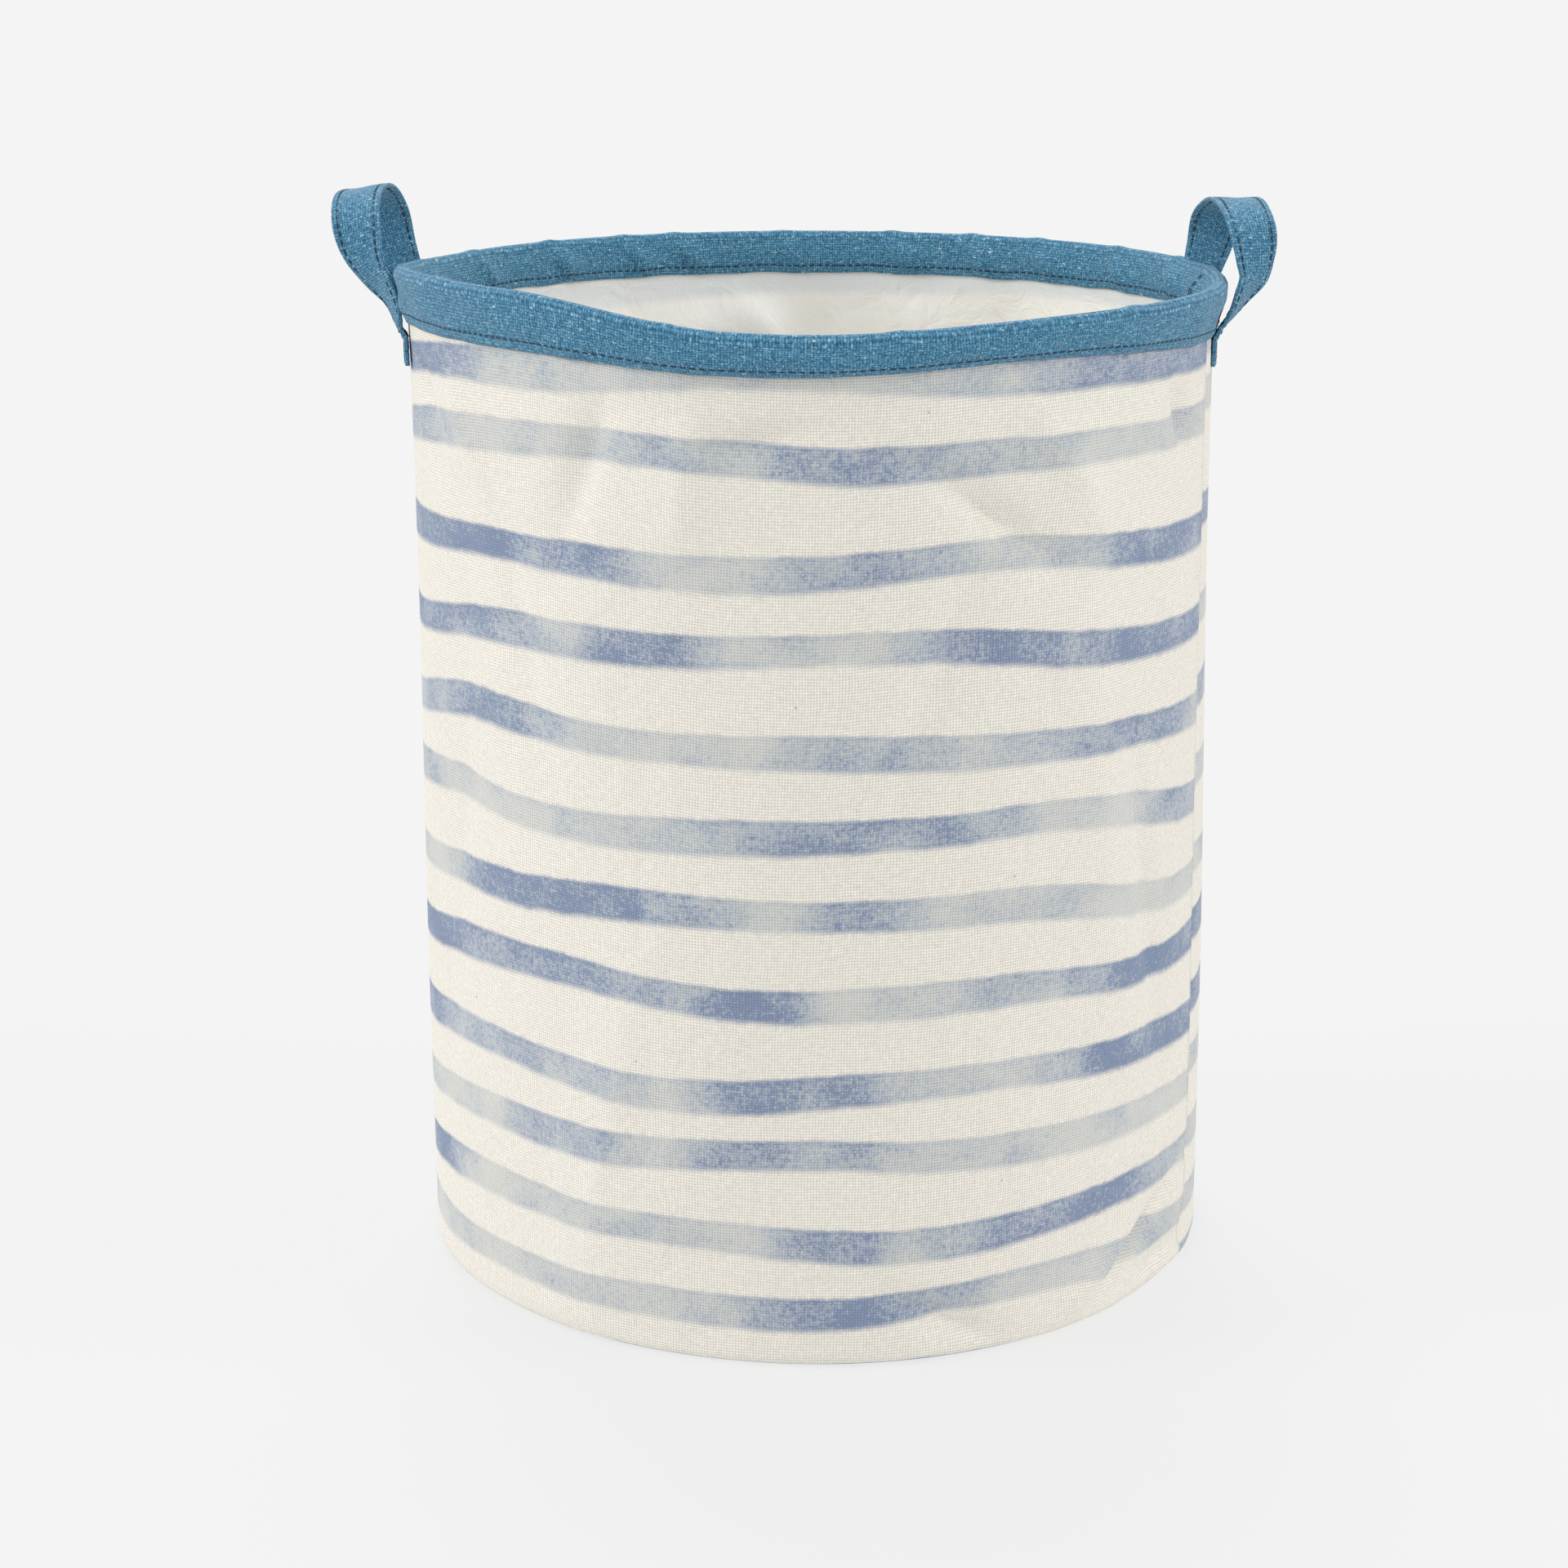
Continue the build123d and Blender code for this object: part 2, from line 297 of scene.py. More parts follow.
class Shade:
    """A material's nodes while they are put together."""

    def __init__(self, name: str) -> None:
        """Start an empty material."""
        self.material = bpy.data.materials.new(name)
        self.material.use_nodes = True
        self.tree = self.material.node_tree
        self.tree.nodes.clear()

    def add(self, kind: str, inputs: dict | None = None, stops: Sequence = (), **settings) -> bpy.types.Node:
        """Add a node.

        Args:
            kind: Node type, without its ShaderNode prefix.
            inputs: Value, socket or node for each input, by name or number.
            stops: Places and sRGB hex colours, for a node that has a colour ramp.
            settings: Properties of the node.

        Returns:
            The new node.
        """
        node = self.tree.nodes.new("ShaderNode" + kind)
        for key, value in settings.items():
            setattr(node, key, value)
        for index, (place, code) in enumerate(stops):
            band = node.color_ramp.elements
            stop = band[index] if index < len(band) else band.new(1.0)
            stop.position = place
            stop.color = linear(code)
        for key, value in (inputs or {}).items():
            if isinstance(value, bpy.types.Node):
                value = next(out for out in value.outputs if out.enabled)
            if isinstance(value, bpy.types.NodeSocket):
                self.tree.links.new(value, node.inputs[key])
            else:
                node.inputs[key].default_value = value
        return node

    def close(self, surface: bpy.types.Node) -> bpy.types.Material:
        """Wire the surface to the output and return the material."""
        self.add("OutputMaterial", {"Surface": surface})
        return self.material


@dataclass(frozen=True)
class Weave:
    """Plain weave: each thread goes over one and under the next, with uneven hand-spun yarn."""

    pitch: float
    stray: float = 1.6  # how far threads wander, in threads

    def wire(self, shade: Shade) -> tuple[bpy.types.Node, bpy.types.Node]:
        """Add the weave's nodes.

        Args:
            shade: Material that takes them.

        Returns:
            The cloth's height, 0 in the gaps to 1 on a thread, and each thread's own tone about 0.5.
        """
        flat = shade.add("UVMap", uv_map=FLAT)
        drift = shade.add("TexNoise", {"Vector": flat, "Scale": 38.0, "Detail": 2.0})
        half = (0.5, 0.5, 0.5)
        middle = shade.add("VectorMath", {0: drift.outputs["Color"], 1: half}, operation="SUBTRACT")
        shift = shade.add("VectorMath", {0: middle, "Scale": self.pitch * self.stray}, operation="SCALE")
        moved = shade.add("VectorMath", {0: flat, 1: shift}, operation="ADD")
        turned = shade.add("VectorMath", {0: moved, "Scale": math.pi / self.pitch}, operation="SCALE")
        axes = shade.add("SeparateXYZ", {0: turned})
        waves = [shade.add("Math", {0: axes.outputs[i]}, operation="SINE") for i in (0, 1)]
        rounds = [shade.add("Math", {0: wave}, operation="ABSOLUTE") for wave in waves]
        signs = [shade.add("Math", {0: wave}, operation="SIGN") for wave in waves]
        threads = []
        for here, there, way in ((0, 1, 0.5), (1, 0, -0.5)):
            over = shade.add("Math", {0: signs[here], 1: waves[there]}, operation="MULTIPLY")
            lift = shade.add("Math", {0: over, 1: way, 2: 0.5}, operation="MULTIPLY_ADD")
            threads.append(shade.add("Math", {0: rounds[here], 1: lift}, operation="MULTIPLY"))
        height = shade.add("Math", {0: threads[0], 1: threads[1]}, operation="MAXIMUM")
        warp_up = shade.add("Math", {0: threads[0], 1: threads[1]}, operation="GREATER_THAN")
        tones = []
        for stretch in ((1.0, 0.45, 1.0), (0.45, 1.0, 1.0)):
            run = shade.add("VectorMath", {0: moved, 1: stretch}, operation="MULTIPLY")
            tones.append(shade.add("TexNoise", {"Vector": run, "Scale": 0.8 / self.pitch, "Detail": 2.0}))
        weft, warp = tones[1].outputs[0], tones[0].outputs[0]
        tone = shade.add("Mix", {0: warp_up, 2: weft, 3: warp}, data_type="FLOAT")
        return height, tone


@dataclass(frozen=True)
class PrintedCanvas:
    """Cotton canvas, woven and then printed with brushed watercolour stripes.

    It gives the eye a matt cream cloth with a visible grid of threads, drawn with a bump and with painted
    shade in the gaps between them, a few brown husk flecks, and blue bands whose colour pools along their
    upper edge and fades out below.
    The real threads lie 1.3 mm apart; they are drawn 1.4 mm apart so that they show.
    """

    name: str = "printed_cotton_canvas"
    pitch: float = 1.4 * MM
    cream: str = "#FCF9F1"
    # painted shade: colour of the gaps between the threads, darker than the cream
    gap: str = "#D6CEBD"
    husk: str = "#A98A6C"
    fray: float = 1.2 * MM  # how far a stripe's edge strays each way
    dyes: tuple = ((0.0, "#E6EAEF"), (0.4, "#CED8E6"), (0.75, "#B1BFDA"), (1.0, "#8C9FC6"))
    strength: float = 1.0
    roughness: float = 0.88

    def make(self) -> bpy.types.Material:
        """Build the material."""
        shade = Shade(self.name)
        height, tone = Weave(self.pitch).wire(shade)
        flat = shade.add("UVMap", uv_map=FLAT)
        # painted shade: the weave's height darkens the cream towards the gap colour between the threads
        lit = shade.add(
            "MapRange", {"Value": height, "From Min": 0.1, "From Max": 0.85, "To Min": 0.15}, clamp=True
        )
        cloth = shade.add("Mix", {0: lit, 6: linear(self.gap), 7: linear(self.cream)}, data_type="RGBA")
        coverage, dose = self.stripes(shade, flat, tone)
        dye = shade.add("ValToRGB", {"Fac": dose}, stops=self.dyes)
        dyed = shade.add("Mix", {0: coverage, 6: (1, 1, 1, 1), 7: dye}, data_type="RGBA")
        printed = shade.add("Mix", {0: 1.0, 6: cloth, 7: dyed}, data_type="RGBA", blend_type="MULTIPLY")
        value = shade.add(
            "MapRange", {"Value": tone, "From Min": 0.3, "From Max": 0.7, "To Min": 0.9, "To Max": 1.05}
        )
        toned = shade.add("Mix", {0: 1.0, 6: printed, 7: value}, data_type="RGBA", blend_type="MULTIPLY")
        spots = shade.add("TexVoronoi", {"Vector": flat, "Scale": 55.0})
        near = shade.add("Math", {0: spots.outputs["Distance"], 1: 0.035}, operation="LESS_THAN")
        pick = shade.add("SeparateXYZ", {0: spots.outputs["Color"]})
        few = shade.add("Math", {0: pick.outputs[0], 1: 0.62}, operation="GREATER_THAN")
        fleck = shade.add("Math", {0: near, 1: few}, operation="MULTIPLY")
        share = shade.add("Math", {0: fleck, 1: 0.55}, operation="MULTIPLY")
        speckled = shade.add("Mix", {0: share, 6: toned, 7: linear(self.husk)}, data_type="RGBA")
        crumple = shade.add(
            "TexNoise", {"Vector": flat, "Scale": 20.0, "Detail": 3.0, "Roughness": 0.5, "Distortion": 1.4}
        )
        folds = shade.add("Bump", {"Height": crumple.outputs[0], "Strength": 0.5, "Distance": 5.0 * MM})
        bump = shade.add("Bump", {"Height": height, "Strength": 0.8, "Distance": 0.4 * MM, "Normal": folds})
        surface = shade.add(
            "BsdfPrincipled",
            {
                "Base Color": speckled,
                "Roughness": self.roughness,
                "Sheen Weight": 0.12,
                "Sheen Roughness": 0.5,
                "Specular IOR Level": 0.25,
                "Normal": bump,
            },
        )
        return shade.close(surface)

    def stripes(
        self, shade: Shade, flat: bpy.types.Node, tone: bpy.types.Node
    ) -> tuple[bpy.types.Node, bpy.types.Node]:
        """Nodes that spread the print's marks like wet colour.

        Args:
            shade: Material that takes them.
            flat: The cloth's flat coordinates.
            tone: Each thread's own tone.

        Returns:
            How much of the cloth the stripe covers, and how much dye it holds there.
        """
        edge = shade.add("Attribute", attribute_name="stripe_edge")
        side = shade.add("Attribute", attribute_name="stripe_side")
        dose = shade.add("Attribute", attribute_name="stripe_dose")
        ragged = shade.add("TexNoise", {"Vector": flat, "Scale": 55.0, "Detail": 2.0, "Roughness": 0.5})
        jitter = shade.add(
            "Math", {0: ragged.outputs[0], 1: 2 * self.fray, 2: -self.fray}, operation="MULTIPLY_ADD"
        )
        grain = shade.add("Math", {0: tone, 1: 2.0 * MM, 2: -1.0 * MM}, operation="MULTIPLY_ADD")
        moved = shade.add("Math", {0: edge.outputs["Fac"], 1: jitter}, operation="ADD")
        moved = shade.add("Math", {0: moved, 1: grain}, operation="ADD")
        soft = shade.add(
            "MapRange",
            {"Value": side.outputs["Fac"], "From Min": -1.0, "To Min": 2.4 * MM, "To Max": 1.3 * MM},
        )
        hard = shade.add("Math", {0: soft, 1: -1.0}, operation="MULTIPLY")
        cover = shade.add(
            "MapRange",
            {"Value": moved, "From Min": soft, "From Max": hard, "To Min": 0.0, "To Max": self.strength},
            interpolation_type="SMOOTHSTEP",
        )
        blotch = shade.add("TexNoise", {"Vector": flat, "Scale": 26.0, "Detail": 3.0, "Roughness": 0.55})
        mottle = shade.add("TexNoise", {"Vector": flat, "Scale": 380.0, "Detail": 3.0})
        wet = shade.add("Math", {0: blotch.outputs[0], 1: 1.6, 2: -0.8}, operation="MULTIPLY_ADD")
        fine = shade.add("Math", {0: mottle.outputs[0], 1: 0.6, 2: -0.3}, operation="MULTIPLY_ADD")
        yarn = shade.add("Math", {0: tone, 1: 1.8, 2: -0.9}, operation="MULTIPLY_ADD")
        pool = shade.add(
            "MapRange", {"Value": edge.outputs["Fac"], "From Min": -3.0 * MM, "To Max": 0.16, "From Max": 0.0}
        )
        level = dose.outputs["Fac"]
        for part in (wet, fine, yarn, pool):
            level = shade.add("Math", {0: level, 1: part}, operation="ADD")
        return cover, level


@dataclass(frozen=True)
class LiningFilm:
    """Thin milky polyethylene film, laminated to the inside of the canvas.

    It gives the eye a smooth off-white with a soft gloss, small wrinkles, and the canvas's stripes just
    showing through; the canvas's threads show as a faint bump with faint painted shade in the gaps between
    them.
    """

    name: str = "laminated_polyethylene_film"
    milk: str = "#FFFDF8"
    shadow: str = "#E4E7E8"
    roughness: float = 0.34

    def make(self, striped: bool) -> bpy.types.Material:
        """Build the material; striped where printed canvas lies behind the film."""
        shade = Shade(self.name + ("_over_print" if striped else "_over_base"))
        height, _ = Weave(1.4 * MM).wire(shade)
        flat = shade.add("UVMap", uv_map=FLAT)
        cloud = shade.add("TexNoise", {"Vector": flat, "Scale": 14.0, "Detail": 3.0})
        milky = shade.add("ValToRGB", {"Fac": cloud.outputs[0]}, stops=((0.3, "#F8F4EA"), (0.65, self.milk)))
        if striped:
            edge = shade.add("Attribute", attribute_name="stripe_edge")
            cover = shade.add(
                "MapRange",
                {"Value": edge.outputs["Fac"], "From Min": 4 * MM, "From Max": -3 * MM, "To Max": 0.75},
                interpolation_type="SMOOTHSTEP",
            )
            milky = shade.add("Mix", {0: cover, 6: milky, 7: linear(self.shadow)}, data_type="RGBA")
        # painted shade: faint darkening in the gaps of the canvas weave under the film
        lit = shade.add("MapRange", {"Value": height, "To Min": 0.955, "To Max": 1.0})
        toned = shade.add("Mix", {0: 1.0, 6: milky, 7: lit}, data_type="RGBA", blend_type="MULTIPLY")
        wrinkle = shade.add(
            "TexNoise", {"Vector": flat, "Scale": 45.0, "Detail": 4.0, "Roughness": 0.55, "Distortion": 1.2}
        )
        ridges = shade.add("Bump", {"Height": wrinkle.outputs[0], "Strength": 0.8, "Distance": 2.4 * MM})
        bump = shade.add(
            "Bump", {"Height": height, "Strength": 0.25, "Distance": 0.15 * MM, "Normal": ridges}
        )
        low, high = self.roughness - 0.06, self.roughness + 0.14
        gloss = shade.add("MapRange", {"Value": cloud.outputs[0], "To Min": low, "To Max": high})
        surface = shade.add(
            "BsdfPrincipled",
            {"Base Color": toned, "Roughness": gloss, "IOR": 1.51, "Normal": bump},
        )
        return shade.close(surface)


@dataclass(frozen=True)
class BandCloth:
    """Yarn-dyed linen-cotton, woven from uneven teal threads.

    It gives the eye a heathered blue with painted shade in the gaps between the threads, painted light on the
    thread tops, and scattered pale slubs.
    The real threads lie 1.1 mm apart; they are drawn 1.4 mm apart so that they show.
    """

    name: str = "yarn_dyed_linen_cotton"
    pitch: float = 1.4 * MM
    yarns: tuple = ((0.22, "#2C6080"), (0.42, "#417B9C"), (0.58, "#5793B3"), (0.8, "#8DBACF"))
    slub: str = "#D3E3E8"
    roughness: float = 0.86

    def make(self) -> bpy.types.Material:
        """Build the material."""
        shade = Shade(self.name)
        height, tone = Weave(self.pitch, stray=1.2).wire(shade)
        flat = shade.add("UVMap", uv_map=FLAT)
        fuzz = shade.add("TexNoise", {"Vector": flat, "Scale": 900.0, "Detail": 2.0})
        mixed = shade.add("Math", {0: fuzz.outputs[0], 1: 1.0, 2: -0.5}, operation="MULTIPLY_ADD")
        level = shade.add("Math", {0: tone, 1: mixed}, operation="ADD")
        yarn = shade.add("ValToRGB", {"Fac": level}, stops=self.yarns)
        # painted shade and light: the gaps between threads are darkened and the thread tops lightened a
        # little
        deep = shade.add("MapRange", {"Value": height, "From Max": 0.8, "To Min": 0.36, "To Max": 1.12})
        cloth = shade.add("Mix", {0: 1.0, 6: yarn, 7: deep}, data_type="RGBA", blend_type="MULTIPLY")
        run = shade.add("VectorMath", {0: flat, 1: (260.0, 800.0, 1.0)}, operation="MULTIPLY")
        lumps = shade.add("TexNoise", {"Vector": run, "Scale": 1.0, "Detail": 2.0})
        slub = shade.add(
            "MapRange", {"Value": lumps.outputs[0], "From Min": 0.67, "From Max": 0.73, "To Max": 0.85}
        )
        flecked = shade.add("Mix", {0: slub, 6: cloth, 7: linear(self.slub)}, data_type="RGBA")
        bump = shade.add("Bump", {"Height": height, "Strength": 0.7, "Distance": 0.35 * MM})
        surface = shade.add(
            "BsdfPrincipled",
            {
                "Base Color": flecked,
                "Roughness": self.roughness,
                "Sheen Weight": 0.15,
                "Sheen Roughness": 0.45,
                "Specular IOR Level": 0.3,
                "Normal": bump,
            },
        )
        return shade.close(surface)


@dataclass(frozen=True)
class SewingThread:
    """Spun polyester thread of three twisted plies: fine slanting lines of painted shade between the plies,
    with a slight silk.
    """

    name: str
    colour: str
    valley_shade: str
    roughness: float = 0.55

    def make(self) -> bpy.types.Material:
        """Build the material."""
        shade = Shade(self.name)
        around = shade.add("UVMap", uv_map=FLAT)
        axes = shade.add("SeparateXYZ", {0: around})
        slant = shade.add("Math", {0: axes.outputs[1], 1: 4.0, 2: axes.outputs[0]}, operation="MULTIPLY_ADD")
        turn = shade.add("Math", {0: slant, 1: 6 * math.pi}, operation="MULTIPLY")
        wave = shade.add("Math", {0: turn}, operation="SINE")
        share = shade.add("Math", {0: wave, 1: 0.5, 2: 0.5}, operation="MULTIPLY_ADD")
        # painted shade: the grooves between the plies take the darker colour
        twist = shade.add("Mix", {0: share, 6: linear(self.valley_shade), 7: linear(self.colour)}, data_type="RGBA")
        bump = shade.add("Bump", {"Height": share, "Strength": 0.5, "Distance": 0.1 * MM})
        surface = shade.add(
            "BsdfPrincipled",
            {"Base Color": twist, "Roughness": self.roughness, "Normal": bump},
        )
        return shade.close(surface)


@dataclass(frozen=True)
class BindingTape:
    """Woven cotton twill tape: off-white, matt, with fine slanting ribs 1 mm apart, drawn 1.5 mm, and painted
    shade in the grooves between them.
    """

    name: str = "cotton_twill_tape"
    rib: str = "#EFE9DB"
    groove_shade: str = "#C9C0AC"
    pitch: float = 1.5 * MM

    def make(self) -> bpy.types.Material:
        """Build the material."""
        shade = Shade(self.name)
        flat = shade.add("UVMap", uv_map=FLAT)
        axes = shade.add("SeparateXYZ", {0: flat})
        slant = shade.add("Math", {0: axes.outputs[0], 1: axes.outputs[1]}, operation="ADD")
        turn = shade.add("Math", {0: slant, 1: 2 * math.pi / self.pitch}, operation="MULTIPLY")
        wave = shade.add("Math", {0: turn}, operation="SINE")
        share = shade.add("Math", {0: wave, 1: 0.5, 2: 0.5}, operation="MULTIPLY_ADD")
        fuzz = shade.add("TexNoise", {"Vector": flat, "Scale": 500.0, "Detail": 3.0})
        level = shade.add("Math", {0: share, 1: fuzz.outputs[0]}, operation="MULTIPLY")
        # painted shade: the grooves between the ribs take the darker colour
        tape = shade.add("ValToRGB", {"Fac": level}, stops=((0.0, self.groove_shade), (0.45, self.rib)))
        bump = shade.add("Bump", {"Height": level, "Strength": 0.5, "Distance": 0.2 * MM})
        surface = shade.add("BsdfPrincipled", {"Base Color": tape, "Roughness": 0.9, "Normal": bump})
        return shade.close(surface)


@dataclass(frozen=True)
class SpringWire:
    """Hard-drawn spring steel, phosphate coated: dull grey metal with fine drawing lines."""

    name: str = "hard_drawn_spring_steel"
    bright: str = "#A7A8A6"
    dark: str = "#77797A"

    def make(self) -> bpy.types.Material:
        """Build the material."""
        shade = Shade(self.name)
        place = shade.add("TexCoord")
        grain = shade.add("TexNoise", {"Vector": place.outputs["Object"], "Scale": 900.0, "Detail": 4.0})
        stops = ((0.35, self.dark), (0.65, self.bright))
        metal = shade.add("ValToRGB", {"Fac": grain.outputs[0]}, stops=stops)
        gloss = shade.add("MapRange", {"Value": grain.outputs[0], "To Min": 0.32, "To Max": 0.52})
        surface = shade.add("BsdfPrincipled", {"Base Color": metal, "Metallic": 1.0, "Roughness": gloss})
        return shade.close(surface)


class Slot(Enum):
    """The record's material slots."""

    CANVAS = "printed_canvas"
    FILM = "lining_film"
    TAPE = "binding_tape"
    CREAM_THREAD = "cream_thread"
    CLOTH = "band_cloth"
    STEEL = "spring_steel"
    NAVY_THREAD = "navy_thread"


class Wardrobe:
    """Every material of the hamper, made once."""

    def __init__(self) -> None:
        """Make the materials."""
        self.canvas = PrintedCanvas().make()
        self.film_striped = LiningFilm().make(striped=True)
        self.film_plain = LiningFilm().make(striped=False)
        self.cloth = BandCloth().make()
        # the second colour of each thread is painted shade for the grooves between its plies
        self.navy = SewingThread("navy_polyester_thread", "#17344F", "#0A1B2B").make()
        self.cream = SewingThread("cream_polyester_thread", "#EFE8D8", "#BDB39C").make()
        self.tape = BindingTape().make()
        self.steel = SpringWire().make()


def dress(piece: bpy.types.Object, material: bpy.types.Material, slot: Slot, *nodes: str) -> None:
    """Give a finished piece its material, and let it stand for its CAD nodes."""
    piece.data.materials.clear()
    piece.data.materials.append(material)
    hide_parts(*nodes)
    LOG.info("%s: %d faces", piece.name, len(piece.data.polygons))


# ---------------------------------------------------------------- the print
@dataclass(frozen=True)
class Dark:
    """A dark place along a stripe: its angle, how far it reaches each way in degrees, and its strength."""

    azimuth: float
    reach: float
    strength: float = 0.7


@dataclass(frozen=True)
class Stripe:
    """One brushed stripe: its height on the wall in mm, and its dark places."""

    height: float
    darks: tuple = ()


@dataclass(frozen=True)
class StripePrint:
    """The stripes of the printed canvas. Heights in mm; the drift along each stripe is a formula."""

    pale: float = 0.15  # dye between the dark places
    half_width: float = 8.0
    seam_step: float = 7.0  # the print's two ends don't meet level at the seam
    left_drop: float = 11.0
    right_drop: float = 15.0
    drop_middle: float = 260.0  # the stripes at this height drop most towards the seam
    drop_spread: float = 150.0
    drift: float = 2.6
    stripes: tuple = (
        Stripe(475, (Dark(-165, 26, 0.8), Dark(-35, 30, 0.75))),
        Stripe(440, (Dark(-168, 16, 0.4), Dark(-95, 28, 0.38))),
        Stripe(390, (Dark(-146, 32, 0.8), Dark(-82, 14, 0.5), Dark(-28, 24, 0.7))),
        Stripe(350, (Dark(-158, 30, 0.75), Dark(-112, 10), Dark(-45, 36))),
        Stripe(305, (Dark(-144, 20, 0.6), Dark(-82, 12, 0.4), Dark(-40, 20, 0.65))),
        Stripe(265, (Dark(-170, 10, 0.4), Dark(-84, 22, 0.6), Dark(-18, 18, 0.55))),
        Stripe(225, (Dark(-126, 26), Dark(-83, 8, 0.5))),
        Stripe(185, (Dark(-148, 40, 0.75), Dark(-98, 10, 0.65), Dark(-62, 8, 0.35), Dark(-30, 22))),
        Stripe(140, (Dark(-170, 16), Dark(-134, 16, 0.35), Dark(-93, 13), Dark(-30, 24, 0.75))),
        Stripe(105, (Dark(-126, 12, 0.4), Dark(-92, 18, 0.45))),
        Stripe(65, (Dark(-168, 18, 0.8), Dark(-87, 9, 0.6), Dark(-50, 24))),
        Stripe(30, (Dark(-84, 18, 0.65),)),
        Stripe(-8, (Dark(-90, 180, 0.55),)),
    )

    def drifted(self, stripe: Stripe, index: int, azimuth: np.ndarray) -> np.ndarray:
        """Height of a stripe's middle along it.

        Args:
            stripe: The stripe.
            index: Its place in the print, which shifts its drift against the others'.
            azimuth: Angles on the front, in degrees.

        Returns:
            Heights in mm.
        """
        reach = np.exp(-(((stripe.height - self.drop_middle) / self.drop_spread) ** 2))
        turn = np.radians(azimuth)
        middle = stripe.height + self.drift * np.sin(2.9 * turn + 2.1 * index)
        middle += 0.5 * self.drift * np.sin(6.3 * turn + 1.3 * index)
        middle -= self.left_drop * smooth((-138 - azimuth) / 42)
        return middle - self.right_drop * reach * smooth((azimuth + 66) / 46)

    def dyed(self, stripe: Stripe, azimuth: np.ndarray, shift: float = 0.0) -> np.ndarray:
        """How much dye a stripe holds along it.

        Args:
            stripe: The stripe.
            azimuth: Angles on the front, in degrees.
            shift: Degrees by which its dark places are moved along it.

        Returns:
            Dye from 0 to 1.
        """
        dye = np.full(len(azimuth), self.pale)
        for dark in stripe.darks:
            away = np.abs(azimuth - dark.azimuth - shift)
            dye = np.maximum(dye, self.pale + dark.strength * (1 - smooth(away / dark.reach - 0.4)))
        return np.clip(dye, 0, 1)

    def marks(self, azimuth: np.ndarray, height: np.ndarray) -> tuple[np.ndarray, np.ndarray, np.ndarray]:
        """Where the stripes lie on the cloth.

        Args:
            azimuth: Angle of each point, rising from the seam through the back to the seam again.
            height: Height of each point, in metres.

        Returns:
            Distance to the edge of the nearest stripe in metres, negative inside; -1 below to 1 above
            the middle of that stripe; and the dye it holds.
        """
        back = azimuth <= 180
        front = np.where(back, -np.clip(np.abs(azimuth), 20, 180), azimuth - 360)
        inland = smooth((180 - azimuth) / 70) * back
        best = np.full(len(azimuth), 1e9)
        side, dose = np.zeros(len(azimuth)), np.zeros(len(azimuth))
        for index, stripe in enumerate(self.stripes):
            middle = self.drifted(stripe, index, front)
            middle += inland * 4.0 * np.sin(np.radians(azimuth) * 2.3 + 1.7 * index)
            middle += back * self.seam_step * (1 - smooth((azimuth + 18) / 90))
            half = self.half_width * (1 + 0.08 * np.sin(np.radians(azimuth) * 5 + 2.1 * index))
            away = height / MM - middle
            gap = np.abs(away) - half
            nearer = gap < best
            best = np.where(nearer, gap, best)
            side = np.where(nearer, np.clip(away / half, -1, 1), side)
            shifted = self.dyed(stripe, front, 23.0 * (index % 3 - 1))
            mixed = self.dyed(stripe, front) * (1 - inland) + shifted * inland
            dose = np.where(nearer, mixed, dose)
        return best * MM, side, np.clip(dose, 0, 1)

    def put_on(self, piece: bpy.types.Object, azimuth: np.ndarray, height: np.ndarray) -> None:
        """Give a piece's points what the canvas and film materials read of the stripes."""
        for name, values in zip(("stripe_edge", "stripe_side", "stripe_dose"), self.marks(azimuth, height)):
            set_attribute(piece, name, values)


STRIPES = StripePrint()


# ---------------------------------------------------------------- wall and lining
@dataclass(frozen=True)
class Crease:
    """A soft dent in the wall, or a ridge where its depth is negative. Sizes in mm, tilt from upright."""

    azimuth: float
    height: float
    length: float
    width: float
    depth: float
    tilt: float = 0.0

    def push(self, azimuth: np.ndarray, height: np.ndarray, radius: float) -> np.ndarray:
        """How far the crease draws the wall in, in mm, at angles and heights in mm."""
        beside = np.radians(wrapped(azimuth - self.azimuth)) * radius
        above = height - self.height
        turn = math.radians(self.tilt)
        across = beside * math.cos(turn) - above * math.sin(turn)
        along = beside * math.sin(turn) + above * math.cos(turn)
        return self.depth * np.exp(-(np.abs(across / self.width) ** 1.3) - (2 * along / self.length) ** 2)


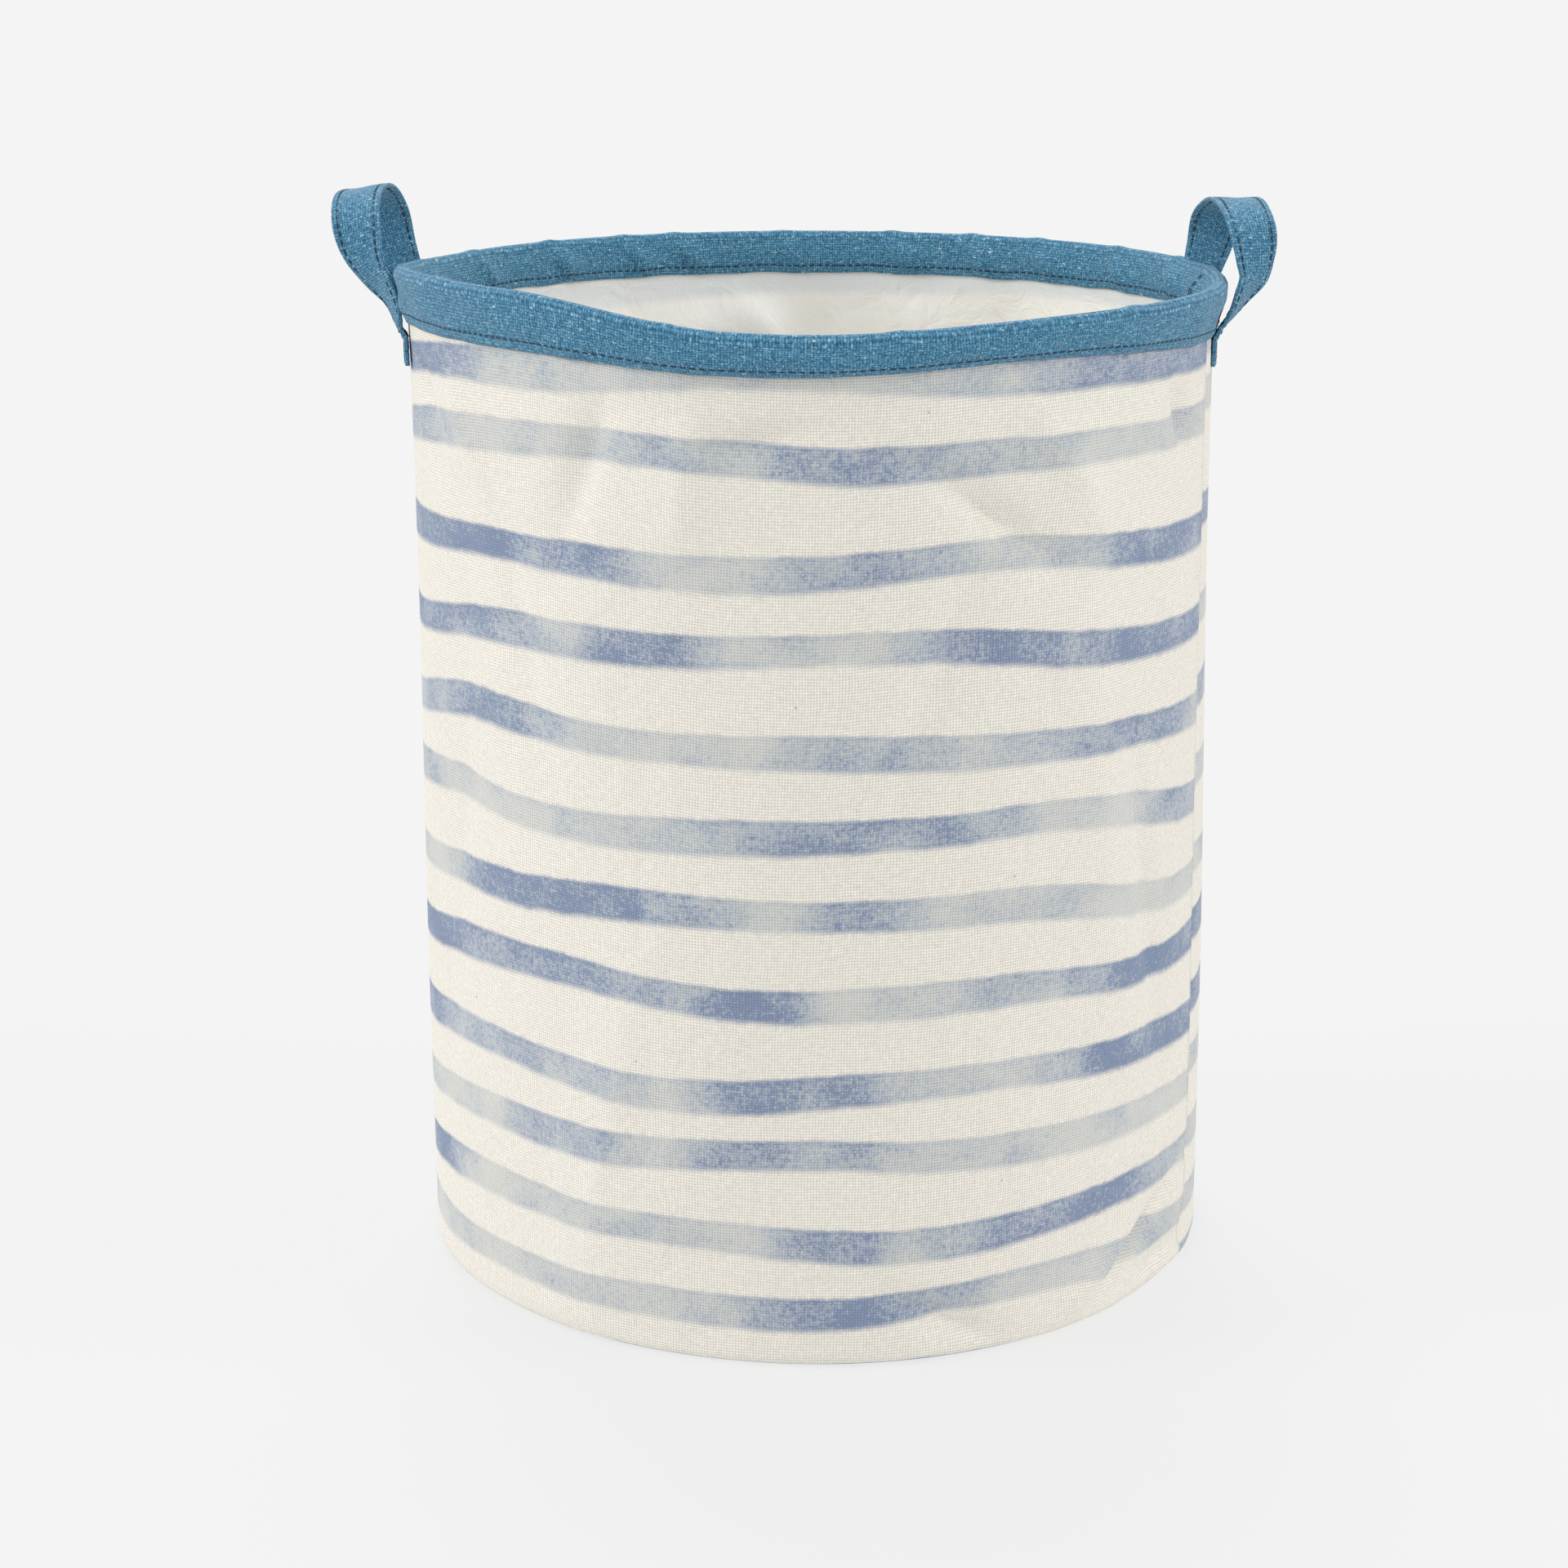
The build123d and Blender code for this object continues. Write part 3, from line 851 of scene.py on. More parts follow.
@dataclass
class Wall:
    """The canvas wall with its film lining and the tape over its upright seam."""

    radius: float
    top: float
    canvas: float = 0.9 * MM
    film: float = 0.3 * MM
    flare: float = 2.5 * MM  # the wall widens by this much towards the floor
    corner: float = 6.0 * MM  # radius of the bottom edge
    tuck: float = 1.1 * MM  # the far edge of the cloth lies this deep under the seam
    under: float = 2.5  # degrees of cloth under the seam
    tunnel: float = 4.0 * MM  # the wall runs this far up into the band's fold
    keep: float = 0.1245  # share of its height that the wall keeps when the rim is down
    crease_gain: float = 1.8
    creases: tuple = (
        Crease(-160, 447, 70, 7, 3.6, -38),
        Crease(-143, 430, 80, 13, -3.4, -35),
        Crease(-121, 428, 70, 10, 4.4, 20),
        Crease(-106, 436, 90, 16, -3.0, 10),
        Crease(-97, 452, 60, 8, 3.2, 75),
        Crease(-66, 414, 90, 8, 4.2, -55),
        Crease(-54, 430, 80, 12, -3.4, -35),
        Crease(-27, 445, 60, 8, 4.2, -25),
        Crease(-35, 33, 85, 6, 6.0, 62),
        Crease(-47, 24, 60, 10, -3.4, 60),
        Crease(-29, 10, 70, 16, 4.5, 80),
        Crease(-71, 20, 60, 8, 3.8, -62),
        Crease(-150, 260, 260, 24, 2.6, 8),
        Crease(-48, 300, 240, 26, -2.4, -6),
        Crease(-85, 180, 260, 36, 1.8, 4),
        Crease(-120, 90, 200, 22, -2.2, 12),
        Crease(-36, 210, 170, 9, 2.4, -10),
        Crease(-134, 350, 150, 12, 2.2, -14),
        Crease(-74, 330, 170, 14, 1.8, 16),
        Crease(30, 430, 90, 12, 4.0, 28),
        Crease(62, 410, 120, 18, -3.6, -20),
        Crease(95, 436, 80, 10, 4.2, 34),
        Crease(118, 300, 260, 28, 2.8, -8),
        Crease(150, 420, 110, 13, 3.8, -30),
        Crease(75, 120, 200, 24, -2.8, 14),
        Crease(20, 60, 110, 12, 3.8, 40),
        Crease(140, 30, 70, 9, 4.0, -58),
    )

    def seam(self, height: np.ndarray) -> np.ndarray:
        """Angle of the upright seam, which leans a little."""
        return -16.0 - 4.0 * (1 - height / self.top)

    def face(self, azimuth: np.ndarray, height: np.ndarray) -> np.ndarray:
        """Radius of the canvas's outside at an angle and a height, in metres."""
        turn = np.radians(azimuth)
        share = height / self.top
        radius = self.radius + self.flare * (1 - share)
        pull = sum(crease.push(azimuth, height / MM, self.radius / MM) for crease in self.creases)
        sway = 1.1 * np.sin(3 * turn + 1.0) * np.sin(math.pi * share)
        sway = sway + 0.6 * np.sin(5 * turn + 5 * share + 2.0) + 0.35 * np.sin(11 * turn - 9 * share)
        calm = 1 - smooth((height - 0.45) / 0.024)
        low = smooth(height / 0.012)
        return radius - MM * (self.crease_gain * pull - sway) * calm * (0.35 + 0.65 * low)

    def skin(self, azimuth: np.ndarray, height: np.ndarray, inset: np.ndarray | float) -> np.ndarray:
        """Points on the wall, moved in by an inset."""
        radius = self.face(azimuth, height) - inset
        round_off = np.clip(1 - height / self.corner, 0, 1)
        radius = radius - self.corner * (1 - np.sqrt(1 - round_off**2))
        rise = RIM_LINE.top(azimuth) * smooth(height / self.top)
        places = on_circle(azimuth, radius, height + rise)
        places[..., 0] += lean_at(height, self.top)
        return places

    def make_panel(self, finishes: Wardrobe) -> bpy.types.Object:
        """The canvas, rolled from its seam once round to lie over its own edge."""
        high = self.top + self.tunnel

        def shape(u: np.ndarray, v: np.ndarray) -> tuple[np.ndarray, np.ndarray]:
            """Places and flat places of the sheet's grid points."""
            height = high * v
            turn = -self.under + (360 + self.under) * u
            azimuth = self.seam(height) + turn
            hidden = self.tuck * (1 - smooth((turn + 0.2) / 2.2)) * smooth(height / 0.02)
            flat = np.stack([np.radians(turn) * self.radius, height], axis=-1)
            return self.skin(azimuth, height, hidden), flat

        piece = grid_piece("wall_canvas", (300, 160), shape)
        places = np.array([v.co for v in piece.data.vertices])
        steps = np.linspace(0, 1, 301)
        u = np.tile(steps, len(places) // len(steps))
        azimuth = self.seam(places[:, 2]) - self.under + (360 + self.under) * u
        STRIPES.put_on(piece, azimuth, places[:, 2])
        thicken(piece, self.canvas)
        dress(piece, finishes.canvas, Slot.CANVAS, "wall_panel")
        return piece

    def make_lining(self, finishes: Wardrobe) -> bpy.types.Object:
        """The film behind the canvas, facing the inside of the hamper."""
        inset = self.canvas + self.tuck + 0.2 * MM
        low, high = 1.3 * MM, self.top - 4 * MM

        def shape(u: np.ndarray, v: np.ndarray) -> tuple[np.ndarray, np.ndarray]:
            """Places and flat places of the sheet's grid points."""
            height = low + (high - low) * v
            azimuth = self.seam(height) + 360 * (1 - u)
            crinkle = 1.3 * np.sin(np.radians(azimuth) * 14 + 22 * height / high)
            crinkle = crinkle + 0.8 * np.sin(np.radians(azimuth) * 27 - 35 * height / high)
            calm = 1 - smooth((height - 0.45) / 0.02)
            flat = np.stack([np.radians(360 * u) * self.radius, height], axis=-1)
            return self.skin(azimuth, height, inset + MM * (1.1 + 0.5 * crinkle) * calm), flat

        piece = grid_piece("wall_lining_film", (260, 120), shape, closed=True)
        places = np.array([v.co for v in piece.data.vertices])
        azimuth = np.degrees(np.arctan2(places[:, 1], places[:, 0]))
        rising = np.where(azimuth < self.seam(places[:, 2]), azimuth + 360, azimuth)
        STRIPES.put_on(piece, rising, places[:, 2])
        thicken(piece, self.film)
        dress(piece, finishes.film_striped, Slot.FILM, "wall_lining")
        return piece

    def settle(self, piece: bpy.types.Object) -> None:
        """Let a piece of the wall ride on the base."""
        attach(piece, "base")
        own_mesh(piece)

    def make_side_seam(self, finishes: Wardrobe) -> None:
        """The tape over the upright seam inside the hamper, with two rows of stitches."""
        low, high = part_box("side_seam_binding")[0].z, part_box("side_seam_binding")[1].z
        width, thickness = 12 * MM, 0.8 * MM
        inset = self.canvas + self.tuck + self.film + 1.6 * MM

        def place(across: np.ndarray, height: np.ndarray) -> np.ndarray:
            """Points on the tape."""
            azimuth = self.seam(height) + np.degrees(across / self.radius)
            return self.skin(azimuth, height, inset)

        def shape(u: np.ndarray, v: np.ndarray) -> tuple[np.ndarray, np.ndarray]:
            """Places and flat places of the sheet's grid points."""
            across, height = width * (0.5 - u), low + (high - low) * v
            return place(across, height), np.stack([width * u, height], axis=-1)

        tape = grid_piece("side_seam_tape", (8, 120), shape)
        thicken(tape, thickness)
        dress(tape, finishes.tape, Slot.TAPE, "side_seam_binding")
        heights = np.arange(low + 3 * MM, high - 2 * MM, STITCH.pitch)
        rows = []
        for across in (-3 * MM, 3 * MM):
            rows.append(place(np.full_like(heights, across), heights))
        centres = np.concatenate(rows)
        inward = -unit(centres * np.array([1, 1, 0]))
        along = np.tile(np.array([0.0, 0.0, 1.0]), (len(centres), 1))
        stitches = STITCH.sow("side_seam_stitching", centres, along, inward)
        dress(stitches, finishes.cream, Slot.CREAM_THREAD, "side_seam_stitches")
        self.settle(tape)
        self.settle(stitches)

    def build(self, finishes: Wardrobe) -> None:
        """Make the whole wall."""
        for piece in (self.make_panel(finishes), self.make_lining(finishes)):
            self.settle(piece)
        self.make_side_seam(finishes)


# ---------------------------------------------------------------- base
@dataclass
class Base:
    """The round canvas base with its film, and the bound seam that joins it to the wall."""

    radius: float
    wall: Wall
    canvas: float = 0.9 * MM
    film: float = 0.3 * MM
    tape_height: float = 10.0 * MM
    tape: float = 0.5 * MM
    fold: float = 2.3 * MM  # thickness of the bound seam

    def disc(self, name: str, radius: float, height: float, wave: float) -> bpy.types.Object:
        """A round sheet that lies level, with a slight unevenness."""

        def shape(u: np.ndarray, v: np.ndarray) -> tuple[np.ndarray, np.ndarray]:
            """Places and flat places of the sheet's grid points."""
            x, y = 2 * u - 1, 2 * v - 1
            across = radius * x * np.sqrt(1 - y * y / 2)
            deep = radius * y * np.sqrt(1 - x * x / 2)
            away = np.hypot(across, deep) / radius
            ripple = np.sin(across * 41 + 1.3) * np.sin(deep * 53 + 0.4)
            ripple = ripple + 0.6 * np.sin(across * 90 - deep * 70)
            level = height + wave * (1.6 + ripple) * smooth((1 - away) / 0.25)
            flat = np.stack([across, deep], axis=-1)
            return np.stack([across + LEAN, deep, level], axis=-1), flat

        return grid_piece(name, (90, 90), shape)

    def build(self, finishes: Wardrobe) -> None:
        """Make the base's pieces."""
        foot = self.wall.radius + self.wall.flare - self.wall.corner
        panel = self.disc("base_canvas", foot - 0.2 * MM, self.canvas, 0.3 * MM)
        for name in ("stripe_edge", "stripe_side", "stripe_dose"):
            set_attribute(panel, name, np.full(len(panel.data.vertices), 1.0))
        thicken(panel, self.canvas)
        dress(panel, finishes.canvas, Slot.CANVAS, "base_panel")
        film = self.disc("base_lining_film", foot - 0.4 * MM, self.canvas + 0.45 * MM, 0.5 * MM)
        thicken(film, self.film)
        dress(film, finishes.film_plain, Slot.FILM, "base_lining")
        for piece in (panel, film):
            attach(piece, "base")
        self.make_seam(finishes)

    def make_seam(self, finishes: Wardrobe) -> None:
        """Tape folded over the plies of the seam, standing round the inside corner, and its stitches."""
        low = self.canvas + self.film + 0.4 * MM
        wall = self.wall
        outer = wall.canvas + wall.tuck + wall.film + 1.6 * MM
        round_off = self.fold / 2
        straight = self.tape_height - round_off
        around = math.pi * round_off
        whole = 2 * straight + around

        def place(azimuth: np.ndarray, run: np.ndarray) -> np.ndarray:
            """Points on the tape."""
            over = np.clip((run - straight) / around, 0, 1) * math.pi
            rise = np.where(run < straight, run, straight + round_off * np.sin(over))
            rise = np.where(run > straight + around, whole - run, rise)
            inset = outer + self.fold * 0.5 * (1 + np.cos(over))
            ripple = 0.25 * MM * np.sin(np.radians(azimuth) * 31) * rise / self.tape_height
            radius = wall.face(azimuth, np.full_like(azimuth, 0.006)) - inset + ripple
            places = on_circle(azimuth, radius, low + rise)
            places[..., 0] += LEAN
            return places

        def shape(u: np.ndarray, v: np.ndarray) -> tuple[np.ndarray, np.ndarray]:
            """Places and flat places of the sheet's grid points."""
            azimuth, run = 360 * (1 - u), whole * v
            flat = np.stack([np.radians(azimuth) * self.radius, run], axis=-1)
            return place(azimuth, run), flat

        tape = grid_piece("base_seam_tape", (240, 18), shape, closed=True)
        thicken(tape, self.tape)
        dress(tape, finishes.tape, Slot.TAPE, "base_seam_binding")
        count = int(2 * math.pi * self.radius / STITCH.pitch)
        azimuths = np.arange(count) * 360 / count
        centres = place(azimuths, np.full(count, straight * 0.55))
        ahead = place(azimuths + 0.5, np.full(count, straight * 0.55))
        inward = -unit((centres - np.array([LEAN, 0, 0])) * np.array([1, 1, 0]))
        stitches = STITCH.sow("base_seam_stitching", centres, ahead - centres, inward)
        dress(stitches, finishes.cream, Slot.CREAM_THREAD, "base_seam_stitches")
        for piece in (tape, stitches):
            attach(piece, "base")


# ---------------------------------------------------------------- rim
@dataclass(frozen=True)
class Pucker:
    """A slanting pleat in the inside face of the band, steep on one side."""

    azimuth: float
    depth: float
    slant: float


@dataclass
class Rim:
    """The cloth band folded over the spring-wire hoop, with its rows of stitches."""

    hoop_radius: float
    hoop_height: float
    foot: float
    outer_foot: float
    inner_foot: float
    fold: float = 4.0 * MM
    cloth: float = 1.0 * MM
    wire: float = 2.0 * MM
    inset: float = 3.9 * MM  # lower edge to the row of stitches
    join: float = 5.0  # angle where the band's ends are sewn together
    outside: float = 0.44  # share of the strip's width on the outside leg, and so on
    over: float = 0.14
    roll: float = 0.7 * MM  # how far the outside leg rolls outward
    front_roll: float = 3.1 * MM  # and how much more at the front
    pillow: float = 1.4  # swell of the inside leg between its edges, in mm
    pleat_gain: float = 3.6
    pleat_lift: float = 0.8  # how much a pleat raises the fold, in shares of its depth
    pleat_steep: float = 2.8  # mm from a pleat's ridge to level on its steep side
    pleat_slope: float = 10.0  # and on its gentle side
    puckers: tuple = (
        Pucker(6, 1.2, -2), Pucker(18, 1.2, -8), Pucker(34, 0.9, -12), Pucker(50, 1.0, -14),
        Pucker(62, 1.2, -12), Pucker(75, 1.1, -14), Pucker(93, 0.6, -10), Pucker(110, 1.0, -14),
        Pucker(119, 0.9, -12), Pucker(133, 1.2, -10), Pucker(150, 0.8, -12), Pucker(168, 0.7, -9),
        Pucker(-150, 0.9, -10), Pucker(-110, 0.8, -12), Pucker(-80, 0.9, -9), Pucker(-45, 1.0, -12),
    )

    def face(self, azimuth: np.ndarray, run: np.ndarray) -> np.ndarray:
        """Points on the band's outer face.

        Args:
            azimuth: Angle round the hamper.
            run: 0 at the lower edge outside, over the fold, to 1 at the lower edge inside.

        Returns:
            Places in metres.
        """
        azimuth, run = np.broadcast_arrays(np.asarray(azimuth, float), np.asarray(run, float))
        middle_z = self.hoop_height + RIM_LINE.top(azimuth)
        foot_z = self.foot + RIM_LINE.foot(azimuth)
        around = np.radians(azimuth)
        flutter = 0.35 * MM * np.sin(around * 23) + 0.25 * MM * np.sin(around * 41 + 1)
        inner_z = self.foot + 0.5 * RIM_LINE.top(azimuth) + 0.8 * flutter
        first = self.touch(foot_z, self.outer_foot, middle_z, 1)
        last = self.touch(inner_z, self.inner_foot, middle_z, -1)
        start, finish = self.outside, self.outside + self.over
        up = np.clip(run / start, 0, 1)
        bend = np.clip((run - start) / self.over, 0, 1)
        down = np.clip((run - finish) / (1 - finish), 0, 1)
        turn = first + (last - first) * bend
        arc_r, arc_z = self.hoop_radius + self.fold * np.cos(turn), middle_z + self.fold * np.sin(turn)
        radius = np.where(run < start, self.outer_foot + (arc_r - self.outer_foot) * up, arc_r)
        height = np.where(run < start, foot_z + (arc_z - foot_z) * up, arc_z)
        radius = np.where(run > finish, arc_r + (self.inner_foot - arc_r) * down, radius)
        height = np.where(run > finish, arc_z + (inner_z - arc_z) * down, height)
        roll = (self.roll + self.front_roll * bump(azimuth, -91, 31)) * np.sin(math.pi * up**0.85)
        ripple = 0.7 * np.sin(around * 17 + 5 * up) + 0.5 * np.sin(around * 31 - 6 * up)
        ripple = MM * ripple * np.sin(math.pi * up)
        radius = radius + (roll + ripple) * (run < start) + flutter * (1 - up)
        pinch, lift = np.zeros_like(radius), np.zeros_like(radius)
        for pucker in self.puckers:
            beside = np.radians(wrapped(azimuth - pucker.azimuth)) * self.hoop_radius / MM
            across = beside - pucker.slant * (down - 0.5)
            lift += self.pleat_lift * pucker.depth * np.exp(-(((beside + pucker.slant / 2) / 5) ** 2))
            reach = np.where(across > 0, self.pleat_steep, self.pleat_slope)
            pinch += self.pleat_gain * pucker.depth * np.exp(-((across / reach) ** 2))
        pillow = self.pillow * np.sin(math.pi * down) + pinch * np.sin(math.pi * np.clip(down, 0, 0.92))
        radius = radius - MM * pillow * (run > finish)
        crown = np.clip((run - start / 2) / (finish - start / 2 + 0.1), 0, 1)
        height = height + MM * lift * np.sin(math.pi * crown)
        return on_circle(azimuth, radius, height)

    def touch(self, foot_z: np.ndarray, foot_r: float, middle_z: np.ndarray, side: int) -> np.ndarray:
        """Find where a straight leg of the band meets the fold.

        Args:
            foot_z: Height of the leg's foot.
            foot_r: Distance of the leg's foot from the hamper's axis.
            middle_z: Height of the hoop.
            side: 1 for the outside leg, -1 for the inside one.

        Returns:
            Angle round the hoop, in radians.
        """
        across, rise = foot_r - self.hoop_radius, foot_z - middle_z
        away = np.hypot(across, rise)
        turn = np.arctan2(rise, across) + side * np.arccos(self.fold / away)
        return turn if side > 0 else turn + 2 * math.pi

    def normals(self, azimuth: np.ndarray, run: np.ndarray) -> tuple[np.ndarray, np.ndarray]:
        """Direction round the band and direction out of its face."""
        ahead = self.face(azimuth + 0.2, run) - self.face(azimuth - 0.2, run)
        rise = self.face(azimuth, run + 0.004) - self.face(azimuth, run - 0.004)
        return unit(ahead), unit(np.cross(ahead, rise))

    def build(self, finishes: Wardrobe) -> None:
        """Make the rim's pieces."""
        width = 2 * (self.hoop_height - self.foot) + math.pi * self.fold
        length = 2 * math.pi * self.hoop_radius

        def shape(u: np.ndarray, v: np.ndarray) -> tuple[np.ndarray, np.ndarray]:
            """Places and flat places of the sheet's grid points."""
            flat = np.stack([length * u, width * v], axis=-1)
            return self.face(self.join + 360 * u, v), flat

        band = grid_piece("rim_band_cloth", (440, 52), shape, closed=True)
        thicken(band, self.cloth)
        dress(band, finishes.cloth, Slot.CLOTH, "rim_band")
        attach(band, "rim")
        count = int(length / STITCH.pitch)
        azimuths = np.arange(count) * 360 / count
        share = self.inset / (self.hoop_height - self.foot)
        self.row("band_stitching_outside", "band_stitch_outer", azimuths, self.outside * share, finishes)
        inner = 1 - (1 - self.outside - self.over) * share
        self.row("band_stitching_inside", "band_stitch_inner", azimuths, inner, finishes)
        self.make_join(finishes)
        self.make_hoop(finishes)

    def row(self, name: str, node: str, azimuths: np.ndarray, run: float, finishes: Wardrobe) -> None:
        """Sow one row round the band."""
        along, out = self.normals(azimuths, np.full_like(azimuths, run))
        stitches = STITCH.sow(name, self.face(azimuths, run), along, out)
        dress(stitches, finishes.navy, Slot.NAVY_THREAD, node)
        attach(stitches, "rim")

    def make_join(self, finishes: Wardrobe) -> None:
        """Two short upright rows where the ends of the band meet, on its inside leg."""
        finish = self.outside + self.over
        runs = np.linspace(finish + 0.03, 0.9, 5)
        across = 2.5 * MM / self.hoop_radius
        azimuths = np.concatenate([np.full(5, self.join), np.full(5, self.join + math.degrees(across))])
        runs = np.tile(runs, 2)
        _, out = self.normals(azimuths, runs)
        rise = self.face(azimuths, runs + 0.01) - self.face(azimuths, runs - 0.01)
        stitches = STITCH.sow("band_join_stitching", self.face(azimuths, runs), rise, out)
        dress(stitches, finishes.navy, Slot.NAVY_THREAD, "band_join_stitches")
        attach(stitches, "rim")

    def tube(
        self, name: str, radius: float, start: float, sweep: float, cells: tuple[int, int]
    ) -> bpy.types.Object:
        """Round bar that follows the hoop's line."""

        def shape(u: np.ndarray, v: np.ndarray) -> tuple[np.ndarray, np.ndarray]:
            """Places and flat places of the sheet's grid points."""
            azimuth, turn = start + sweep * v, 2 * math.pi * u
            height = self.hoop_height + RIM_LINE.top(azimuth) + radius * np.sin(turn)
            flat = np.stack([u, v], axis=-1)
            return on_circle(azimuth, self.hoop_radius - radius * np.cos(turn), height), flat

        return grid_piece(name, cells, shape, closed=True, capped=True)

    def make_hoop(self, finishes: Wardrobe) -> None:
        """The spring-wire ring and the sleeve crimped over its two ends."""
        middle, gap = 60.0, 0.3
        hoop = self.tube("rim_hoop_wire", self.wire, middle + gap / 2, 360 - gap, (12, 300))
        dress(hoop, finishes.steel, Slot.STEEL, "rim_hoop")
        sweep = math.degrees(24 * MM / self.hoop_radius)
        sleeve = self.tube("hoop_ferrule_sleeve", 2.7 * MM, middle - sweep / 2, sweep, (24, 24))
        dress(sleeve, finishes.steel, Slot.STEEL, "hoop_ferrule")
        for piece in (hoop, sleeve):
            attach(piece, "rim")


# ---------------------------------------------------------------- handles
class Side(Enum):
    """The hamper's two handles."""

    RIGHT = 1
    LEFT = -1

    @property
    def word(self) -> str:
        """The side's name in piece names."""
        return self.name.lower()


@dataclass
class Handle:
    """One strap: a sewn tail at each end and the loop between them, with its stitches."""

    side: Side
    width: float = 25.0 * MM
    thickness: float = 2.2 * MM
    turn: float = 3.5  # degrees behind the middle
    spread: float = 40.0 * MM
    root_radius: float = 204.6 * MM
    root_height: float = 478.0 * MM
    leg: float = 30.0 * MM
    crest: float = 57.0 * MM  # rise of the loop's top above the foot of the band
    tail_foot: float = 459.0 * MM
    tail_radius: float = 201.3 * MM
    hem: float = 3.2 * MM  # strap's edge to its row of stitches
    rises: tuple = (0, 6, 15, 23, 33, 48, 57)
    front_leans: tuple = (0.5, 5.0, 10.5, 14.5, 15.5, 13.0, 9.5)
    back_leans: tuple = (0.5, 1.5, 3.0, 5.0, 7.5, 9.0, 9.5)
    twist_rises: tuple = (0, 10, 20, 34, 48, 60)
    twists: tuple = (4, 18, 36, 60, 80, 90)
    crest_dip: float = 0.0  # how far the flat top slopes down outward

    def centre(self, side: np.ndarray, along: np.ndarray) -> np.ndarray:
        """Middle of the strap.

        Args:
            side: -1 on the front leg, 1 on the back leg.
            along: -1 at the end of the tail, 0 at the root, 1 at the start of the arch, 2 at its top.

        Returns:
            Places for a handle at +X, before it is turned or mirrored.
        """
        bend = np.radians(90 * np.clip(along - 1, 0, 1))
        y = side * self.spread * np.cos(bend) ** 0.8
        arch = self.crest - self.leg
        rise = 0.2 * MM + np.clip(along, 0, 1) * (self.leg - 0.2 * MM) + arch * np.sin(bend) ** 0.8
        back_share = smooth(0.5 + 0.5 * side * np.cos(bend))
        out = MM * (
            (1 - back_share) * eased(self.rises, self.front_leans, rise / MM)
            + back_share * eased(self.rises, self.back_leans, rise / MM)
        )
        radius = self.tail_radius + (self.root_radius - self.tail_radius) * smooth((along + 0.4) / 0.4)
        tail = self.root_height + 0.2 * MM + along * (self.root_height - self.tail_foot)
        height = np.where(along < 0, tail, self.root_height + rise)
        return np.stack([np.sqrt(radius**2 - y**2) + out * (along > 0), y, height], axis=-1)

    def frames(self, way: np.ndarray) -> tuple[np.ndarray, np.ndarray, np.ndarray]:
        """Middle, width direction and face direction along the whole strap.

        Args:
            way: -3 at the end of the front tail, 0 at the top of the loop, 3 at the end of the back tail.

        Returns:
            Three arrays of vectors, for a handle at +X.
        """
        side = np.where(way < 0, -1.0, 1.0)
        along = 2 - np.abs(way)
        step = 0.02
        before, after = way - step, way + step
        ahead = self.centre(np.where(after < 0, -1.0, 1.0), 2 - np.clip(np.abs(after), 0, 3))
        behind = self.centre(np.where(before < 0, -1.0, 1.0), 2 - np.clip(np.abs(before), 0, 3))
        run = unit(ahead - behind)
        rise = (self.centre(side, along)[:, 2] - self.root_height) / MM
        twist = eased(self.twist_rises, self.twists, rise) * smooth((along + 0.3) / 0.3)
        twist = np.radians(twist)
        leg = math.asin(self.spread / self.root_radius)
        angle = side * leg * (1 - np.clip(along, 0, 2) / 2)
        inward = np.stack([np.sin(angle) * side, -np.cos(angle) * side, np.zeros_like(angle)], axis=-1)
        width = inward * np.cos(twist)[:, None] + np.array([1.0, 0, -self.crest_dip]) * np.sin(twist)[:, None]
        width = unit(width - run * np.sum(width * run, axis=-1, keepdims=True))
        out = np.cross(run, width)
        return self.centre(side, along), width, out

    def put(self, places: np.ndarray) -> np.ndarray:
        """Turn a handle's points to their place, and mirror them for the left handle."""
        turn = math.radians(self.turn)
        x = places[..., 0] * math.cos(turn) - places[..., 1] * math.sin(turn)
        y = places[..., 0] * math.sin(turn) + places[..., 1] * math.cos(turn)
        return np.stack([x * self.side.value, y, places[..., 2]], axis=-1)

    def section(self) -> tuple[np.ndarray, np.ndarray]:
        """Closed outline across the strap, pinched along its rows of stitches."""
        flat = np.linspace(-1, 1, 17) * (self.width - self.thickness) / 2
        row = self.width / 2 - self.hem
        pinch = 0.25 * MM * np.exp(-(((np.abs(flat) - row) / (1.1 * MM)) ** 2))
        half = self.thickness / 2
        round_off = np.radians([60, 30, 0, -30, -60])
        tip = (self.width - self.thickness) / 2
        bulge = half * np.cos(round_off)
        x = np.concatenate([flat, tip + bulge, flat[::-1], -tip - bulge])
        y = np.concatenate([half - pinch, half * np.sin(round_off), pinch - half, -half * np.sin(round_off)])
        return x, y

    def build(self, finishes: Wardrobe) -> None:
        """Make the handle's pieces."""
        x, y = self.section()
        count = len(x)
        around = np.cumsum(np.hypot(np.diff(x, append=x[0]), np.diff(y, append=y[0])))
        around = np.append(0.0, around)
        fine = np.linspace(-3, 3, 2001)
        middle = self.centre(np.where(fine < 0, -1.0, 1.0), 2 - np.abs(fine))
        lengths = np.append(0.0, np.cumsum(np.linalg.norm(np.diff(middle, axis=0), axis=1)))
        whole = lengths[-1]

        def shape(u: np.ndarray, v: np.ndarray) -> tuple[np.ndarray, np.ndarray]:
            """Places and flat places of the sheet's grid points."""
            way = np.interp(v * whole, lengths, fine)
            centre, width, out = self.frames(way)
            index = np.rint(u * count).astype(int) % count
            loose = 0.25 * MM * np.sin(way * 9.0 + x[index] * 300)
            places = centre + width * x[index][:, None] + out * (y[index] + loose)[:, None]
            flat = np.stack([around[np.rint(u * count).astype(int)], v * whole], axis=-1)
            return self.put(places), flat

